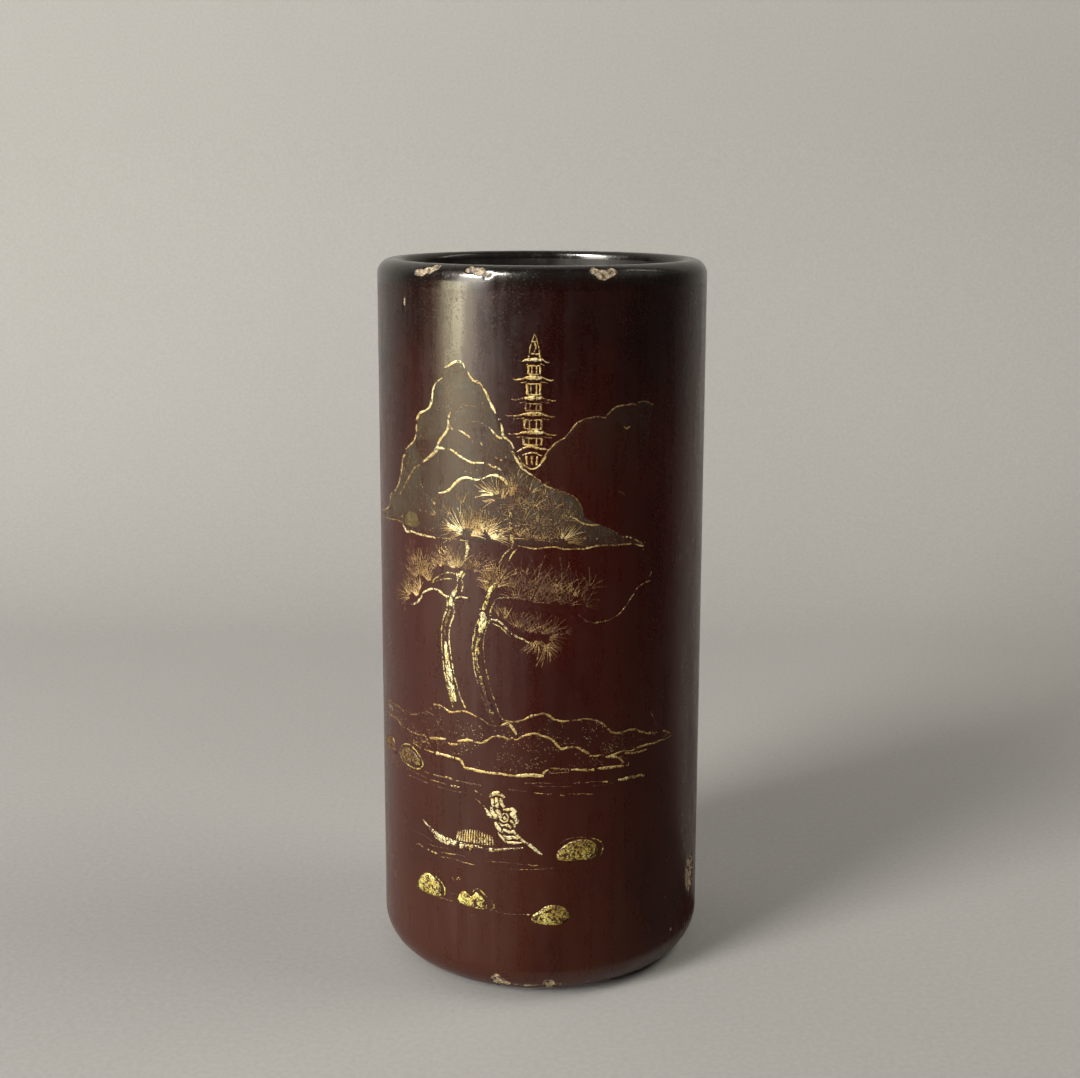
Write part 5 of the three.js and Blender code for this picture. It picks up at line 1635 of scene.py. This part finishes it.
def pagoda_strokes():
    """The base in its hollow, a house and a roof for each storey, then the spire."""
    middle, low = PAGODA_AXIS
    drawn = [
        # the hollow the base sits in, the base's two curbs and its posts
        (0.15, [(middle - 2.4, low + 1.9, .25), (middle - 1.7, low + .6, .35),
                (middle - .9, low - .1, .35), (middle, low - .4, .35),
                (middle + .9, low - .1, .32), (middle + 1.8, low + .8, .3),
                (middle + 2.5, low + 1.9, .25)]),
        (0.2, [(middle - 1.7, low + 2.0, .2), (middle, low + 2.5, .36),
               (middle + 1.8, low + 2.0, .2)]),
        (0.15, [(middle - 2.6, low + 2.6, .2), (middle - 1.2, low + 3.4, .5),
                (middle, low + 3.6, .6), (middle + 1.2, low + 3.3, .5),
                (middle + 2.9, low + 3.0, .2)]),
    ]
    for side in (-1, 0, 1):
        drawn.append((0.05, [(middle + side * .95, low + 1.9, .45),
                             (middle + side * .85, low + .35, .4)]))
    floor = low + 3.7
    for level, (roof, left, right, tone) in enumerate(PAGODA_ROOFS):
        lean = middle + (PAGODA_TIP[0] - middle) * (roof - low) / (PAGODA_TIP[1] - low)
        half = PAGODA_HALF_WIDTH * (1 - 0.09 * level)
        ceiling = roof - .9
        sill, lintel = floor + .2, ceiling - .1
        drawn += [
            # two posts and the rails that leave a dark window between them
            (tone, [(lean - half, sill, .5), (lean - half, lintel, .55)]),
            (tone, [(lean + half, sill, .45), (lean + half, lintel, .5)]),
            (tone, [(lean - half * .4, sill, .26), (lean - half * .42, lintel, .26)]),
            (tone, [(lean + half * .4, sill, .26), (lean + half * .42, lintel, .26)]),
            (tone, [(lean - half, sill, .34), (lean, sill - .05, .4), (lean + half, sill, .3)]),
            (tone, [(lean - half, lintel, .3), (lean + half, lintel, .3)]),
            # the roof: a bright band, two eaves with lifted tips and their shadow line
            (tone * .4, [(lean - half - .2, roof, .5), (lean, roof + .05, .9),
                         (lean + half + .2, roof, .5)]),
            (tone + .15, [(lean - half, roof + .1, .4), (lean - half - 1, roof - .25, .34),
                          (left + .6, roof - .35, .26), (left, roof - .15, .12)]),
            (tone + .15, [(lean + half, roof + .3, .36), (lean + half + .7, roof - .1, .3),
                          (right - .5, roof - .45, .24), (right, roof - .35, .12)]),
            (tone + .2, [(left + 1.4, roof - .85, .14), (lean - half - .3, roof - .75, .26),
                         (lean - half, roof - .7, .2)]),
            (tone + .25, [(lean + half, roof - .7, .2), (right - .9, roof - .9, .14)]),
        ]
        floor = roof + .45
    top, tip = PAGODA_TIP
    drawn += [
        (0.3, [(top - 1.0, floor, .3), (top - .75, tip - 2.2, .3), (top, tip, .12)]),
        (0.3, [(top + .9, floor, .3), (top + .7, tip - 2.2, .3), (top, tip, .12)]),
        (0.2, [(top - .7, floor + .6, .3), (top + .7, floor + .5, .3)]),
        (0.35, [(top - .1, floor + .9, .3), (top + .25, tip - 2.3, .3), (top, tip - 1.5, .3)]),
        (0.35, [(top - .4, tip - 1.4, .25), (top + .4, tip - 1.3, .25)]),
    ]
    return drawn


class POT_OT_boat(PotOperator, bpy.types.Operator):
    """Draw the boat with its bundle of reeds, and the boatman"""
    bl_idname = "pot.boat"
    bl_label = "Boat and boatman"

    def make(self, sizes, colours):
        material = gold_material("gold_figures", colours, 0.55, 0.1)
        hull = gold_material("gold_hull", colours, 0.85, 0.2)
        settle(strokes("boat_hull_lines", HULL, hull, sizes, 31.0), "gold", "boat_hull")
        reeds = []
        for i in range(CARGO_REEDS):
            share = i / (CARGO_REEDS - 1)
            across = CARGO_LEFT[0] + (CARGO_RIGHT[0] - CARGO_LEFT[0]) * share
            foot = CARGO_LEFT[1] + (CARGO_RIGHT[1] - CARGO_LEFT[1]) * share
            swell = CARGO_TOP * math.sin(math.pi * (0.2 + 0.62 * share)) ** 0.7
            sway = 0.35 - 0.5 * share
            reeds.append((0.1 + 0.25 * share, [
                (across, foot, .34), (across + sway * .3, foot + swell * .5, .36),
                (across + sway, foot + swell, .16)]))
        settle(strokes("boat_cargo_lines", reeds, material, sizes, 32.0), "gold", "boat_cargo")
        settle(strokes("boatman_lines", BOATMAN, material, sizes, 33.0), "gold", "boatman")


class POT_OT_rocks(PotOperator, bpy.types.Operator):
    """Raise the six gold rocks and draw their loose outlines"""
    bl_idname = "pot.rocks"
    bl_label = "Rocks"

    def make(self, sizes, colours):
        material = gold_material("gold_rocks", colours, 0.66, 0.32, 0.3,
                                 fresh=ROCK_FRESH, middle=ROCK_MIDDLE)
        for node, (tone, outline) in ROCKS.items():
            piece = link(rock_mesh(node, outline, tone, sizes.rock_rise), node + "_gold")
            piece.data.materials.append(material)
            settle(piece, "gold", node)
        settle(strokes("rock_outlines", ROCK_LINES, material, sizes, 41.0, 0.75), "gold")


class POT_OT_stage(PotOperator, bpy.types.Operator):
    """Set the sweep, the lights, the dark sheet of painted shade that only reflections see, and the
    camera
    """
    bl_idname = "pot.stage"
    bl_label = "Stage"

    def make(self, sizes, colours):
        make_sweep(colours)
        make_lights()
        make_shade_sheet()
        make_camera()


class POT_PT_panel(bpy.types.Panel):
    """The pot's values and the steps that make it"""
    bl_label = "Brush Pot"
    bl_idname = "POT_PT_panel"
    bl_space_type = "VIEW_3D"
    bl_region_type = "UI"
    bl_category = "Brush Pot"

    def draw(self, context):
        for group in (context.scene.pot_sizes, context.scene.pot_colours):
            column = self.layout.column(align=True)
            for name in group.bl_rna.properties.keys():
                if name not in ("rna_type", "name"):
                    column.prop(group, name)
        for step in STEPS:
            self.layout.operator(step.bl_idname)


STEPS = (POT_OT_trees, POT_OT_wood, POT_OT_body, POT_OT_rim, POT_OT_lining, POT_OT_foot,
         POT_OT_grounds, POT_OT_lines, POT_OT_pines, POT_OT_pagoda, POT_OT_boat, POT_OT_rocks,
         POT_OT_stage)
CLASSES = (PotSizes, PotColours, *STEPS, POT_PT_panel)


def register():
    for kind in CLASSES:
        bpy.utils.register_class(kind)
    bpy.types.Scene.pot_sizes = bpy.props.PointerProperty(type=PotSizes)
    bpy.types.Scene.pot_colours = bpy.props.PointerProperty(type=PotColours)


def unregister():
    del bpy.types.Scene.pot_colours
    del bpy.types.Scene.pot_sizes
    for kind in reversed(CLASSES):
        bpy.utils.unregister_class(kind)


def main():
    register()
    for step in STEPS:
        family, name = step.bl_idname.split(".")
        getattr(getattr(bpy.ops, family), name)()


if __name__ == "__main__":
    main()
